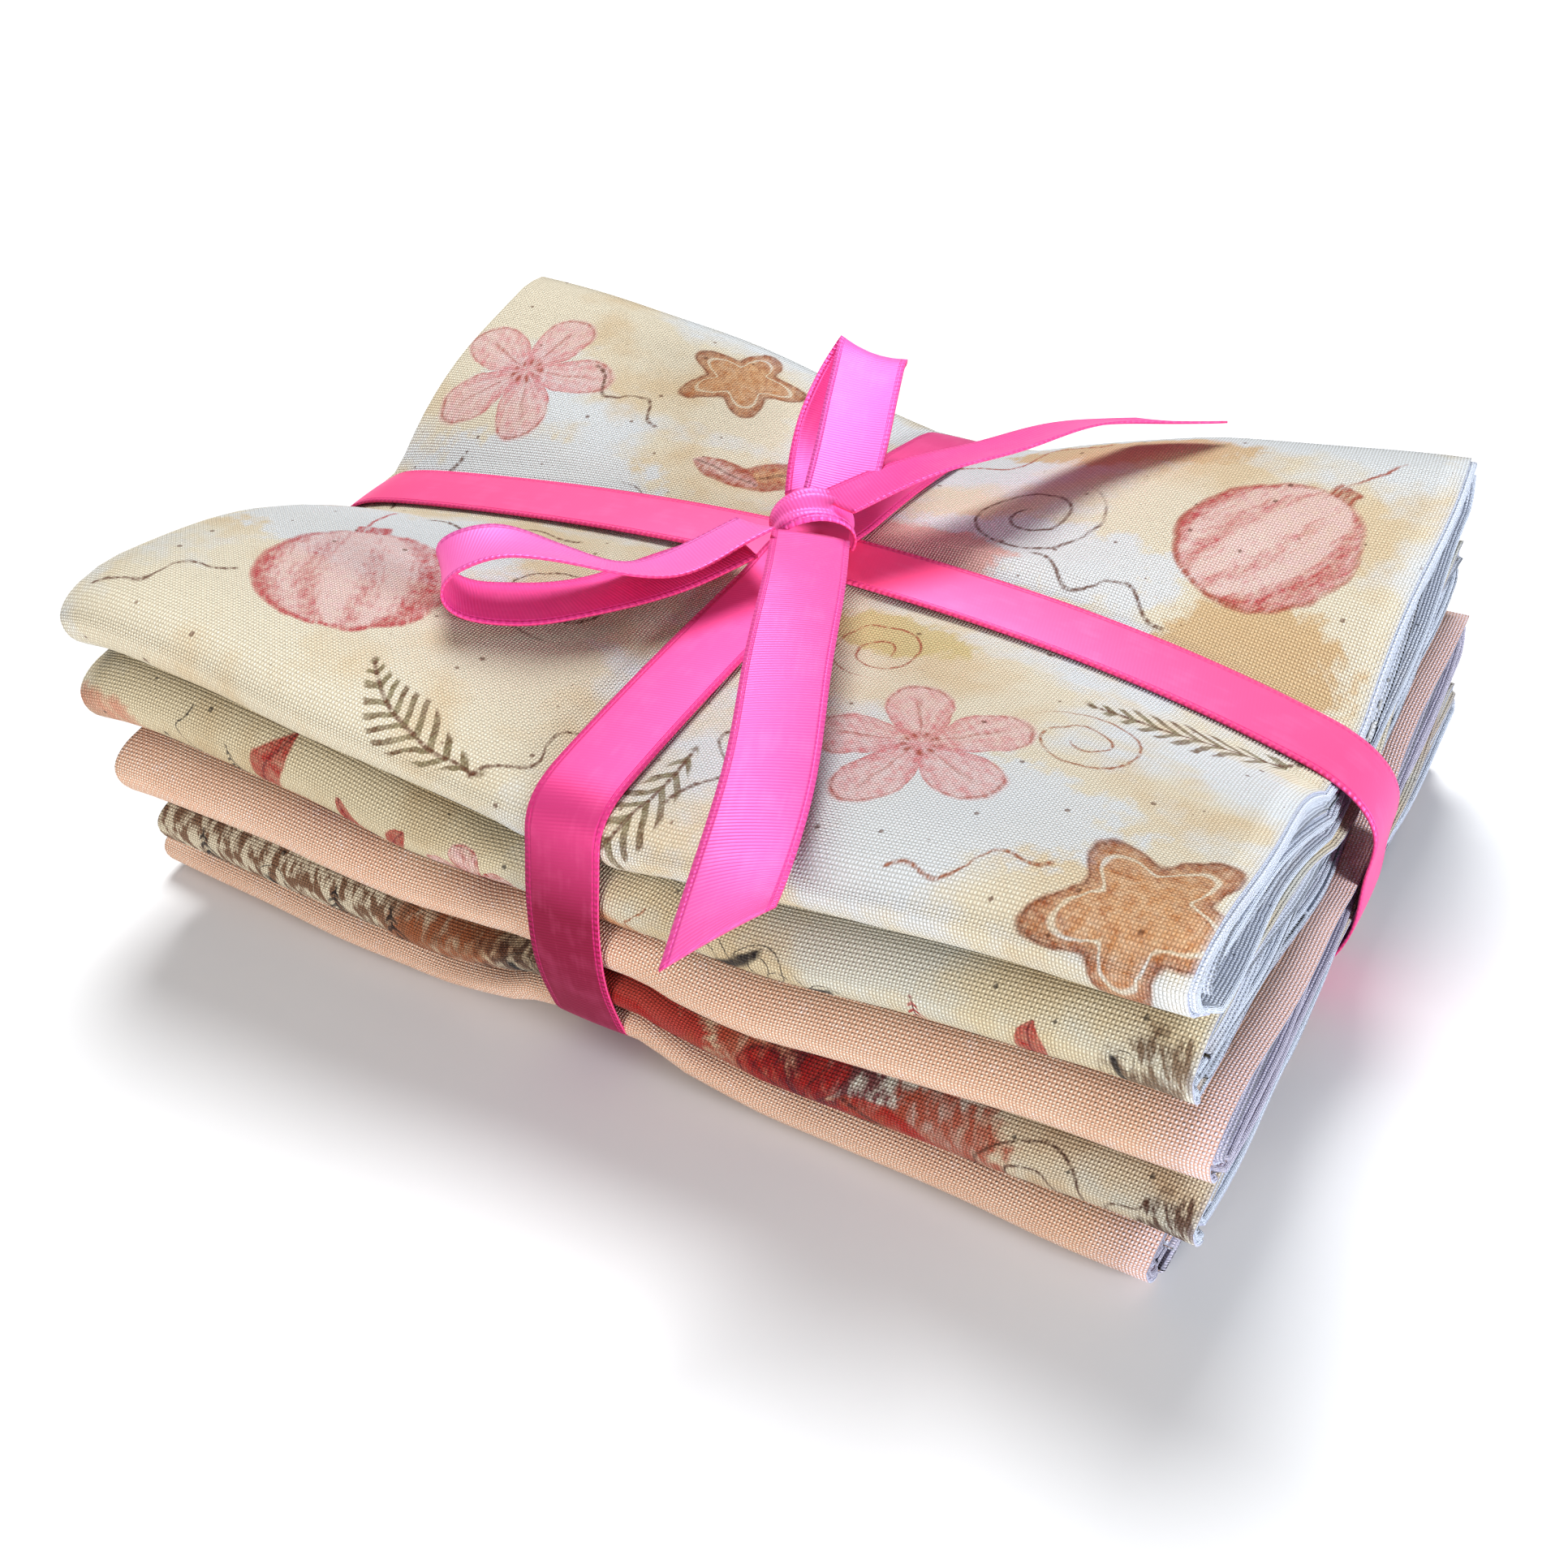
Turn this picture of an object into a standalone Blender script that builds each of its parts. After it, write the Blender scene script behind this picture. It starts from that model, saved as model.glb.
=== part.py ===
"""Five folded fat quarters in a stack, tied both ways with one satin ribbon and a bow.

+X runs along the long folded front edges, +Y from the front folds to the back and
+Z up. The tables are millimetres from the middle of the stack of cloth, and the
meshes are metres from the middle of the whole bundle's underside, tail included.
"""

import math

import bpy
from mathutils import Vector

MM = 0.001
MIDDLE = Vector((-0.2, -9.2, 0.0))      # middle of the whole bundle, seen from the stack's

# The folded cloth
HALF_LENGTH = 76.6        # half of 18 in folded in thirds, with its plump ends
FRONT = -57.0             # front folds; 22 in folded in five is about 112 front to back
BACK = 55.0               # back folds
LAYER = 1.25              # three thin plies that lie together
LAYER_STEP = 1.66         # one layer and the air above it
CLOTH_AIR = 0.45          # air between one folded fat quarter and the next
CLOTHS = 5
LAYERS = 5
END_RECESS = 0.9          # the inner layers end a little short of the outer ones

# The ribbon
RIBBON_WIDTH = 10.3
RIBBON_THICK = 1.0
RIBBON_GAP = 0.35         # clear air between ribbon and cloth
CROSS_X = -1.0            # the band that runs front to back
CROSS_Y = 1.9             # the band that runs end to end
BAND_FLAT = 7.0           # half width of the flat bed that a band presses
BAND_RAMP = 14.5          # where that bed has faded out underneath

# Heights of the tied stack
CENTRE_TOP = 44.2
CHANNEL = 1.7             # depth of a band's bed in the underside
EDGE_LIFT = 4.0           # how far the tie draws the bottom edges up
LIFT_WIDTH = 20.0         # how far that lift spreads beside a band
CLOTH_THICK = (LAYERS - 1) * LAYER_STEP + LAYER
NOMINAL_TOP = CLOTHS * (CLOTH_THICK + CLOTH_AIR)

# How the top falls along each band's valley: by how much at what distance from the crossing
VALLEYS = {
    "left": {"fall": 9.6, "at": 76.0, "power": 1.6},
    "right": {"fall": 9.0, "at": 76.0, "power": 2.6},
    "front": {"fall": 2.2, "at": 57.0, "power": 3.0},
    "back": {"fall": 8.2, "at": 54.0, "power": 1.9},
}
# How the top rises beside each band: how wide the bank is and how sharp
LONG_BANK = {"width": 15.5, "power": 1.05}
SHORT_BANK = {"width": 23.0, "power": 1.0}

# Pillows between the bands, one row for each quarter of the top: side in X, side in Y, corner height
PILLOWS = (
    {"x": -1, "y": -1, "height": 54.0},
    {"x": -1, "y": 1, "height": 52.6},
    {"x": 1, "y": -1, "height": 54.6},
    {"x": 1, "y": 1, "height": 55.8},
)
PILLOW_FOOT = 46.0
PILLOW_POWER = 0.6

# Each folded fat quarter, top to bottom: shift in X and Y, turn in degrees, added length, share of plumpness
CLOTH_ROWS = (
    {"node": "fat_quarter_1", "x": -1.9, "y": -0.2, "turn": 0.77, "longer": 0.2, "plump": 1.13},
    {"node": "fat_quarter_2", "x": -1.7, "y": -1.0, "turn": 0.77, "longer": 0.6, "plump": 1.14},
    {"node": "fat_quarter_3", "x": 1.7, "y": -1.5, "turn": 1.40, "longer": 0.0, "plump": 1.03},
    {"node": "fat_quarter_4", "x": 3.6, "y": -0.9, "turn": 0.20, "longer": -1.6, "plump": 0.86},
    {"node": "fat_quarter_5", "x": 0.4, "y": 0.8, "turn": -1.00, "longer": -0.8, "plump": 0.84},
)
CLOTH_COLOURS = {
    "fat_quarter_1": (0.86, 0.80, 0.70),
    "fat_quarter_2": (0.84, 0.79, 0.69),
    "fat_quarter_3": (0.84, 0.60, 0.50),
    "fat_quarter_4": (0.70, 0.58, 0.47),
    "fat_quarter_5": (0.84, 0.60, 0.50),
}

# Lines across the cloth where its surface bends
X_LINES = (-64.0, -40.0, CROSS_X - BAND_RAMP, CROSS_X - BAND_FLAT,
           CROSS_X + BAND_FLAT, CROSS_X + BAND_RAMP, 40.0, 64.0)
Y_LINES = (-46.0, -29.0, CROSS_Y - BAND_RAMP, CROSS_Y - BAND_FLAT,
           CROSS_Y + BAND_FLAT, CROSS_Y + BAND_RAMP, 30.0, 45.0)

# The five passes of the fold in the order that the cloth runs: height in layers, way it runs in Y
PASSES = (
    {"level": 4, "way": -1},
    {"level": 0, "way": 1},
    {"level": 3, "way": -1},
    {"level": 1, "way": 1},
    {"level": 2, "way": -1},
)
TURN_STEPS = {4: 5, 3: 5, 2: 4, 1: 3}     # flats in a turn that spans so many layers
INNER_END = 1.0                           # the first pass ends this far inside the front turn
FREE_END_SHORT = 2.4                      # the top pass stops this far short of the back folds

# Free ribbon, one row for each section: centre, then the way that its width points
LOOP_LEFT = (
    {"x": -6.0, "y": -5.6, "z": 50.7, "wx": -0.66, "wy": 0.70, "wz": -0.26},
    {"x": -13.0, "y": -18.6, "z": 50.1, "wx": -0.80, "wy": 0.50, "wz": -0.28},
    {"x": -16.4, "y": -22.6, "z": 51.2, "wx": -0.71, "wy": 0.62, "wz": -0.33},
    {"x": -21.4, "y": -25.8, "z": 53.4, "wx": -0.54, "wy": 0.78, "wz": -0.32},
    {"x": -29.6, "y": -30.6, "z": 55.1, "wx": -0.62, "wy": 0.78, "wz": -0.08},
    {"x": -34.6, "y": -34.9, "z": 52.2, "wx": -0.66, "wy": 0.75, "wz": -0.04},
    {"x": -33.2, "y": -34.2, "z": 49.2, "wx": -0.58, "wy": 0.81, "wz": -0.08},
    {"x": -26.3, "y": -30.0, "z": 47.2, "wx": -0.56, "wy": 0.83, "wz": -0.03},
    {"x": -18.6, "y": -23.4, "z": 46.9, "wx": -0.74, "wy": 0.66, "wz": -0.08},
    {"x": -12.8, "y": -15.2, "z": 47.1, "wx": -0.82, "wy": 0.56, "wz": -0.06},
    {"x": -8.4, "y": -8.2, "z": 48.1, "wx": -0.76, "wy": 0.64, "wz": -0.12},
)
LOOP_BACK = (
    {"x": 0.3, "y": 8.6, "z": 50.9, "wx": 0.96, "wy": 0.24, "wz": 0.00},
    {"x": -1.8, "y": 15.4, "z": 53.2, "wx": 0.95, "wy": 0.28, "wz": 0.04},
    {"x": -5.0, "y": 25.0, "z": 56.0, "wx": 0.95, "wy": 0.31, "wz": 0.07},
    {"x": -8.1, "y": 33.8, "z": 57.6, "wx": 0.95, "wy": 0.29, "wz": -0.09},
    {"x": -9.8, "y": 37.0, "z": 56.2, "wx": 0.86, "wy": 0.26, "wz": -0.42},
    {"x": -11.1, "y": 34.2, "z": 53.0, "wx": 0.78, "wy": 0.26, "wz": -0.56},
    {"x": -10.0, "y": 26.5, "z": 51.0, "wx": 0.76, "wy": 0.30, "wz": -0.56},
    {"x": -6.8, "y": 17.6, "z": 49.6, "wx": 0.87, "wy": 0.39, "wz": -0.30},
    {"x": -4.0, "y": 9.8, "z": 48.2, "wx": 0.91, "wy": 0.40, "wz": 0.02},
)
TAIL_FRONT = (
    {"x": 2.8, "y": -5.4, "z": 49.6, "wx": 0.90, "wy": 0.42, "wz": -0.12},
    {"x": 8.0, "y": -15.4, "z": 52.0, "wx": 0.90, "wy": 0.37, "wz": -0.22},
    {"x": 14.9, "y": -31.6, "z": 52.5, "wx": 0.91, "wy": 0.39, "wz": -0.16},
    {"x": 22.8, "y": -50.6, "z": 50.3, "wx": 0.91, "wy": 0.38, "wz": -0.16},
    {"x": 28.4, "y": -70.0, "z": 46.8, "wx": 0.97, "wy": 0.18, "wz": 0.10},
)
TAIL_BACK = (
    {"x": 7.2, "y": 9.4, "z": 54.6, "wx": 0.84, "wy": -0.52, "wz": 0.12},
    {"x": 10.4, "y": 14.6, "z": 54.3, "wx": 0.84, "wy": -0.48, "wz": 0.22},
    {"x": 15.5, "y": 24.4, "z": 53.0, "wx": 0.86, "wy": -0.40, "wz": 0.30},
    {"x": 22.2, "y": 38.1, "z": 51.7, "wx": 0.80, "wy": -0.45, "wz": 0.38},
    {"x": 33.0, "y": 49.2, "z": 49.6, "wx": 0.53, "wy": -0.74, "wz": 0.41},
)
TAIL_SLANT = 9.0          # how far one corner of a cut end reaches past the other
BAND_CLEAR = RIBBON_GAP + RIBBON_THICK / 2.0
BAND_STOPS = {1: (0.6, 0.2), -1: (0.9, 0.6)}      # heights where an end's furthest cloths hold the band off
CORNER_OUT = 0.6
CORNER_UP = 0.65
BEND = (                  # a band's way round a fold: inwards from the fold, up from its top
    {"in": 4.5, "up": 0.85},
    {"in": 1.8, "up": 1.0},
    {"in": -1.1, "up": -1.7},
)
KNOT = {"x": -0.5, "y": 2.0, "z": 49.9, "long": 11.0, "deep": 8.4, "high": 5.2, "round": 2.0}

RIBBON_COLOUR = (0.93, 0.13, 0.38)
RIBBON_DARK = (0.80, 0.09, 0.33)


def clear_scene():
    """Take every object out of the scene."""
    for item in list(bpy.data.objects):
        bpy.data.objects.remove(item, do_unlink=True)


def finish(name, colour, roughness):
    """A plain cloth or satin material."""
    material = bpy.data.materials.new(name)
    material.use_nodes = True
    shader = material.node_tree.nodes["Principled BSDF"]
    shader.inputs["Base Color"].default_value = (*colour, 1.0)
    shader.inputs["Roughness"].default_value = roughness
    shader.inputs["Metallic"].default_value = 0.0
    return material


def bed(offset):
    """1 on the flat bed of a band, fading to 0 at the end of its ramp."""
    reach = abs(offset)
    if reach <= BAND_FLAT:
        return 1.0
    if reach >= BAND_RAMP:
        return 0.0
    return (BAND_RAMP - reach) / (BAND_RAMP - BAND_FLAT)


def bump(offset, width):
    """A hump that is 1 on a band's bed and exactly 0 beyond its width past the bed."""
    part = 1.0 - (max(0.0, abs(offset) - BAND_FLAT) / width) ** 2
    return part * part if part > 0.0 else 0.0


def rise(value, start, end):
    """0 before start and 1 at end, as a straight ramp."""
    return max(0.0, (value - start) / (end - start))


def fall(reach, valley):
    """How far the floor of a band's valley has dropped at this distance from the crossing."""
    return valley["fall"] * (reach / valley["at"]) ** valley["power"]


def bank(reach, side):
    """0 on a band's bed, going towards 1 on the pillow beside it."""
    return 1.0 - math.exp(-(max(0.0, reach - BAND_FLAT) / side["width"]) ** side["power"])


def top_height(x, y):
    """Top of the tied stack: low along the two bands, high in the four pillows."""
    reach_x = abs(x - CROSS_X)
    reach_y = abs(y - CROSS_Y)
    along_x = fall(reach_x, VALLEYS["left" if x < CROSS_X else "right"])
    along_y = fall(reach_y, VALLEYS["front" if y < CROSS_Y else "back"])
    off_y = bank(reach_y, LONG_BANK)
    off_x = bank(reach_x, SHORT_BANK)
    side_x = -1 if x < CROSS_X else 1
    side_y = -1 if y < CROSS_Y else 1
    corner = next(row["height"] for row in PILLOWS if row["x"] == side_x and row["y"] == side_y)
    share = (min(1.0, reach_x / HALF_LENGTH) * min(1.0, reach_y / BACK)) ** PILLOW_POWER
    pillow = PILLOW_FOOT + (corner - PILLOW_FOOT) * share
    on_long = (1.0 - off_y) * (CENTRE_TOP - along_x)
    on_short = (1.0 - off_x) * (CENTRE_TOP - along_y)
    shared = (1.0 - off_y) * (1.0 - off_x) * CENTRE_TOP
    return on_long + on_short - shared + off_x * off_y * pillow


def base_height(x, y):
    """Underside: flat on the table but for the beds of the bands and the edges they lift."""
    beds = CHANNEL * (bed(x - CROSS_X) + bed(y - CROSS_Y))
    front_back = max(rise(-y, -Y_LINES[0], -FRONT), rise(y, Y_LINES[-1], BACK)) * bump(x - CROSS_X, LIFT_WIDTH)
    ends = rise(abs(x), X_LINES[-1], HALF_LENGTH) * bump(y - CROSS_Y, LIFT_WIDTH)
    return beds + EDGE_LIFT * (front_back + ends)


def place(x, y, height):
    """A point of the even stack, moved to where the tie presses it."""
    low = base_height(x, y)
    high = top_height(x, y)
    return (Vector((x, y, low + (high - low) * height / NOMINAL_TOP)) - MIDDLE) * MM


def cloth_floor(index):
    """Height of one cloth's underside in the even stack."""
    return sum(CLOTH_THICK * row["plump"] + CLOTH_AIR for row in CLOTH_ROWS[index + 1:])


def turn_points(centre, level_from, level_to, side):
    """Middle line of a turn between two passes, as (way out in Y, height) steps."""
    span = abs(level_from - level_to)
    radius = span * LAYER_STEP / 2.0
    middle = (level_from + level_to) * LAYER_STEP / 2.0
    start = math.copysign(math.pi / 2.0, level_from - level_to)
    steps = TURN_STEPS[span]
    points = []
    for step in range(steps + 1):
        angle = start * (1.0 - 2.0 * step / steps)
        out = math.cos(angle)
        points.append((centre, side * radius * out, middle + radius * math.sin(angle)))
    return points


def fold_line():
    """The fold's middle line: rows of (place in Y, way out of a turn, height in the cloth)."""
    line = []
    for index, row in enumerate(PASSES):
        height = row["level"] * LAYER_STEP
        lines = Y_LINES if row["way"] > 0 else tuple(reversed(Y_LINES))
        if index == 0:
            line.append(("back_end", 0.0, height))
        line += [(y, 0.0, height) for y in lines]
        if index == len(PASSES) - 1:
            line.append(("front_end", 0.0, height))
            break
        edge = "front" if row["way"] < 0 else "back"
        line += turn_points(edge, row["level"], PASSES[index + 1]["level"], row["way"])
    return line


def fold_edges(row, x):
    """Where this cloth's turns and ends lie in Y at one place along it."""
    slope = math.tan(math.radians(row["turn"]))
    shift = row["y"] + x * slope
    half = LAYER / 2.0
    front = FRONT + shift + 2.0 * LAYER_STEP + half
    back = BACK + shift - 1.5 * LAYER_STEP - half
    return {"front": front, "back": back, "back_end": BACK + shift - FREE_END_SHORT, "front_end": front + INNER_END}


def section(row, x, floor):
    """Both sides of the folded cloth's section at one place: the left side, then the right."""
    edges = fold_edges(row, x)
    middle = []
    for spot, out, height in fold_line():
        y = edges[spot] if isinstance(spot, str) else spot
        middle.append((y + out, height + LAYER / 2.0))
    left = []
    right = []
    for index, (y, height) in enumerate(middle):
        before = middle[max(0, index - 1)]
        after = middle[min(len(middle) - 1, index + 1)]
        run = math.hypot(after[0] - before[0], after[1] - before[1])
        across = (-(after[1] - before[1]) / run, (after[0] - before[0]) / run)
        left.append((y + across[0] * LAYER / 2.0, floor + (height + across[1] * LAYER / 2.0) * row["plump"]))
        right.append((y - across[0] * LAYER / 2.0, floor + (height - across[1] * LAYER / 2.0) * row["plump"]))
    return left, right


def end_place(row, side, y, height, floor):
    """Where the cloth's end lies in X: turned a little, with its inner layers short."""
    slope = math.tan(math.radians(row["turn"]))
    depth = 1.0 - abs((height - floor) / (CLOTH_THICK * row["plump"]) * 2.0 - 1.0)
    length = HALF_LENGTH + row["longer"] - END_RECESS * depth
    return row["x"] + side * length - y * slope


def add_part(name, verts, faces, material, collection):
    """A mesh object of its own in the collection."""
    mesh = bpy.data.meshes.new(name)
    mesh.from_pydata([tuple(v) for v in verts], [], faces)
    mesh.materials.append(material)
    mesh.validate()
    part = bpy.data.objects.new(name, mesh)
    collection.objects.link(part)
    return part


def folded_cloth(row, index, material, collection):
    """One fat quarter: a layered strip folded back and forth, lofted from end to end."""
    floor = cloth_floor(index)
    stations = (-HALF_LENGTH, *X_LINES, HALF_LENGTH)
    verts = []
    rising = []
    for number, x in enumerate(stations):
        left, right = section(row, x, floor)
        ring = left + right
        for y, height in ring:
            place_x = x
            if number in (0, len(stations) - 1):
                side = -1 if number == 0 else 1
                place_x = end_place(row, side, y, height, floor)
            verts.append(place(place_x, y, height))
        rising = [after[0] > before[0] for before, after in zip(left, left[1:])]
    count = len(rising) + 1
    ring_size = 2 * count
    faces = []
    for number in range(len(stations) - 1):
        here = number * ring_size
        there = here + ring_size
        for step in range(count - 1):
            for side in (0, count):
                a, b = here + side + step, here + side + step + 1
                d, c = there + side + step, there + side + step + 1
                split = [(a, b, c), (a, c, d)] if rising[step] else [(a, b, d), (b, c, d)]
                faces += split if side else [tri[::-1] for tri in split]
        for step in (0, count - 1):
            a, b = here + step, here + count + step
            d, c = there + step, there + count + step
            faces.append((d, c, b, a) if step else (a, b, c, d))
    last = (len(stations) - 1) * ring_size
    for step in range(count - 1):
        faces.append((step, step + 1, count + step + 1, count + step))
        faces.append((last + count + step, last + count + step + 1, last + step + 1, last + step))
    return add_part(row["node"], verts, faces, material, collection)


def ribbon(name, sections, material, collection, closed=False):
    """A strip of ribbon lofted through sections of (centre, width direction, left and right reach)."""
    count = len(sections)
    verts = []
    for index, (centre, width, left, right) in enumerate(sections):
        before = sections[index - 1][0] if closed or index else centre
        after = sections[(index + 1) % count][0] if closed or index < count - 1 else centre
        along = (after - before).normalized()
        across = (width - along * width.dot(along)).normalized()
        face = along.cross(across).normalized() * (RIBBON_THICK / 2.0)
        for slip, side in ((left, -1.0), (right, 1.0)):
            edge = centre - MIDDLE + across * (side * RIBBON_WIDTH / 2.0) + along * slip
            verts.append((edge + face * side) * MM)
            verts.append((edge - face * side) * MM)
    faces = []
    spans = count if closed else count - 1
    for index in range(spans):
        here = index * 4
        there = (index + 1) % count * 4
        for side in range(4):
            a, b = here + side, here + (side + 1) % 4
            d, c = there + side, there + (side + 1) % 4
            faces.append((a, c, b))
            faces.append((a, d, c))
    if not closed:
        last = (count - 1) * 4
        faces.append((0, 1, 2, 3))
        faces.append((last + 3, last + 2, last + 1, last))
    return add_part(name, verts, faces, material, collection)


def spline(rows, steps):
    """A smooth run of ribbon sections through a table's rows."""
    points = [Vector((row["x"], row["y"], row["z"], row["wx"], row["wy"], row["wz"])) for row in rows]
    run = []
    for index in range(len(points) - 1):
        p1, p2 = points[index], points[index + 1]
        p0 = points[index - 1] if index else p1 * 2.0 - p2
        p3 = points[index + 2] if index + 2 < len(points) else p2 * 2.0 - p1
        for step in range(steps):
            t = step / steps
            run.append(0.5 * (p1 * 2.0 + (p2 - p0) * t + (p0 * 2.0 - p1 * 5.0 + p2 * 4.0 - p3) * t * t
                              + (p1 * 3.0 - p0 - p2 * 3.0 + p3) * t ** 3))
    run.append(points[-1])
    return [(Vector(p[:3]), Vector(p[3:]), 0.0, 0.0) for p in run]


def slant_end(sections, slant):
    """Cut the last section at a slant: one corner reaches past the other."""
    centre, width, _, _ = sections[-1]
    sections[-1] = (centre, width, slant, -slant)
    centre, width, _, _ = sections[-2]
    sections[-2] = (centre, width, 0.0, -slant * 0.35)
    return sections


def end_reach(index, side, y):
    """How far one cloth's end reaches at one place across the stack."""
    return end_place(CLOTH_ROWS[index], side, y, 0.0, 0.0)


def fold_reach(index, x):
    """Front and back limits of one cloth at one place along the stack."""
    edges = fold_edges(CLOTH_ROWS[index], x)
    front = edges["front"] - 2.0 * LAYER_STEP - LAYER / 2.0
    back = edges["back"] + 1.5 * LAYER_STEP + LAYER / 2.0
    return {-1: front, 1: back}


def band_side(side):
    """The long band's run down one end of the stack, as (x, z) from top to bottom."""
    reach = [end_reach(index, side, CROSS_Y) for index in range(CLOTHS)]
    first = reach[0]
    last = reach[-1]
    furthest = side * max(side * x for x in reach)
    high = top_height(first, CROSS_Y)
    low = base_height(last, CROSS_Y)
    stops = BAND_STOPS[side]
    run = [(first - side * 2.5, top_height(first - side * 2.5, CROSS_Y) + BAND_CLEAR),
           (first + side * CORNER_OUT, high + CORNER_UP)]
    run += [(furthest + side * BAND_CLEAR, low + (high - low) * part) for part in stops]
    run += [(last + side * BAND_CLEAR, low + 1.2),
            (last + side * CORNER_OUT, low - CORNER_UP),
            (last - side * 2.5, base_height(last - side * 2.5, CROSS_Y) - BAND_CLEAR)]
    return run


def long_band(material, collection):
    """The band that runs end to end: over the top, down both ends and back underneath."""
    path = [(x, top_height(x, CROSS_Y) + BAND_CLEAR) for x in X_LINES]
    path += band_side(1)
    path += [(x, base_height(x, CROSS_Y) - BAND_CLEAR) for x in reversed(X_LINES)]
    path += reversed(band_side(-1))
    across = Vector((0.0, 1.0, 0.0))
    sections = [(Vector((x, CROSS_Y, z)), across, 0.0, 0.0) for x, z in path]
    return ribbon("ribbon_band_long", sections, material, collection, closed=True)


def band_front_back(side):
    """The short band's run down the folds at the back or the front, as (y, z) from top to bottom."""
    reach = [fold_reach(index, CROSS_X)[side] for index in range(CLOTHS)]
    first = reach[0]
    last = reach[-1]
    run = []
    for row in BEND:
        y = first - side * row["in"]
        run.append((y, top_height(CROSS_X, side * min(side * y, side * first)) + row["up"]))
    for index in range(1, CLOTHS - 1):
        edge = reach[index]
        high = top_height(CROSS_X, edge)
        low = base_height(CROSS_X, edge)
        middle = cloth_floor(index) + CLOTH_THICK * CLOTH_ROWS[index]["plump"] / 2.0
        run.append((edge + side * 1.1, low + (high - low) * middle / NOMINAL_TOP))
    for row in reversed(BEND):
        y = last - side * row["in"]
        run.append((y, base_height(CROSS_X, side * min(side * y, side * last)) - row["up"]))
    return run


def short_band(material, collection):
    """The band that runs front to back, over the long one on top and under it below."""
    hop = RIBBON_WIDTH / 2.0 + 1.0
    over = ((CROSS_Y - BAND_RAMP, 0.0), (CROSS_Y - hop, 1.0), (CROSS_Y + hop, 1.0), (CROSS_Y + BAND_RAMP, 0.0))
    inner = [(y, top_height(CROSS_X, y) + BAND_CLEAR + share * (RIBBON_GAP + RIBBON_THICK)) for y, share in over]
    ends = [(y, top_height(CROSS_X, y) + BAND_CLEAR) for y in Y_LINES]
    under = [(y, base_height(CROSS_X, y) - BAND_CLEAR) for y in Y_LINES]
    flat = [(y, CHANNEL - BAND_CLEAR) for y in (CROSS_Y + BAND_RAMP, CROSS_Y - BAND_RAMP)]
    path = ends[:2] + inner + ends[-2:] + band_front_back(1)
    path += under[:-3:-1] + flat + under[1::-1]
    path += reversed(band_front_back(-1))
    across = Vector((-1.0, 0.0, 0.0))
    sections = [(Vector((CROSS_X, y, z)), across, 0.0, 0.0) for y, z in path]
    return ribbon("ribbon_band_short", sections, material, collection, closed=True)


def knot(material, collection):
    """The tight round of ribbon that holds the bow."""
    bpy.ops.mesh.primitive_cube_add(size=1.0)
    part = bpy.context.active_object
    part.name = "ribbon_knot"
    part.data.name = "ribbon_knot"
    for vert in part.data.vertices:
        vert.co.x *= KNOT["long"] * MM
        vert.co.y *= KNOT["deep"] * MM
        vert.co.z *= KNOT["high"] * MM
    part.location = (Vector((KNOT["x"], KNOT["y"], KNOT["z"])) - MIDDLE) * MM
    rounded = part.modifiers.new("rounded", "BEVEL")
    rounded.width = KNOT["round"] * MM
    rounded.segments = 3
    part.data.materials.append(material)
    for owner in list(part.users_collection):
        owner.objects.unlink(part)
    collection.objects.link(part)
    return part


def build():
    """Make the bundle."""
    clear_scene()
    collection = bpy.data.collections.new("fat_quarter_bundle")
    bpy.context.scene.collection.children.link(collection)
    for index, row in enumerate(CLOTH_ROWS):
        cloth = finish(row["node"], CLOTH_COLOURS[row["node"]], 0.9)
        folded_cloth(row, index, cloth, collection)
    satin = finish("satin_face", RIBBON_COLOUR, 0.35)
    satin_back = finish("satin_back", RIBBON_DARK, 0.5)
    long_band(satin, collection)
    short_band(satin, collection)
    knot(satin_back, collection)
    ribbon("bow_loop_left", spline(LOOP_LEFT, 3), satin, collection)
    ribbon("bow_loop_back", spline(LOOP_BACK, 3), satin_back, collection)
    ribbon("ribbon_tail_front", slant_end(spline(TAIL_FRONT, 4), TAIL_SLANT / 2.0), satin_back, collection)
    ribbon("ribbon_tail_back", slant_end(spline(TAIL_BACK, 4), TAIL_SLANT / 2.0), satin, collection)


build()
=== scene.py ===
"""Looks of a tied bundle of fat quarters: five folded quilting cottons and a satin ribbon.

The shapes are worked out in millimetres in the stack's own frame, with +X along the
folded front edges, +Y to the back and +Z up, and are put into the part's frame last.
"""

import logging
import math
from dataclasses import dataclass
from enum import Enum
from typing import Callable

import bmesh
import bpy
import numpy as np
from mathutils import Matrix, Vector


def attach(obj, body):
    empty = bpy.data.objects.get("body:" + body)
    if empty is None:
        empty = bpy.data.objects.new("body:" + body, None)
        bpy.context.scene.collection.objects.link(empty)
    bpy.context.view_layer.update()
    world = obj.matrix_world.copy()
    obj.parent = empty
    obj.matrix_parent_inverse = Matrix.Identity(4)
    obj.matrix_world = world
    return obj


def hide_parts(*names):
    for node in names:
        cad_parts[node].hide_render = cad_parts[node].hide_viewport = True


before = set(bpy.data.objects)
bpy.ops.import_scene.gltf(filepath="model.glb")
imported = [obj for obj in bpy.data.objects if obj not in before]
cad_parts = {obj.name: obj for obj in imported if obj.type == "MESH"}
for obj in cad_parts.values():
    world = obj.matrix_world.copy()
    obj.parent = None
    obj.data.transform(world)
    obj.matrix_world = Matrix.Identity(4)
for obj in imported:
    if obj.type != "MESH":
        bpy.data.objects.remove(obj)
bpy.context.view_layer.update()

LOG = logging.getLogger("fat_quarter_bundle")
MM = 0.001
MIDDLE = np.array((-0.2, -9.2, 0.0))     # middle of the whole bundle, seen from the stack's
METRE = 1000.0                           # in millimetres
Array = np.ndarray
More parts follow.
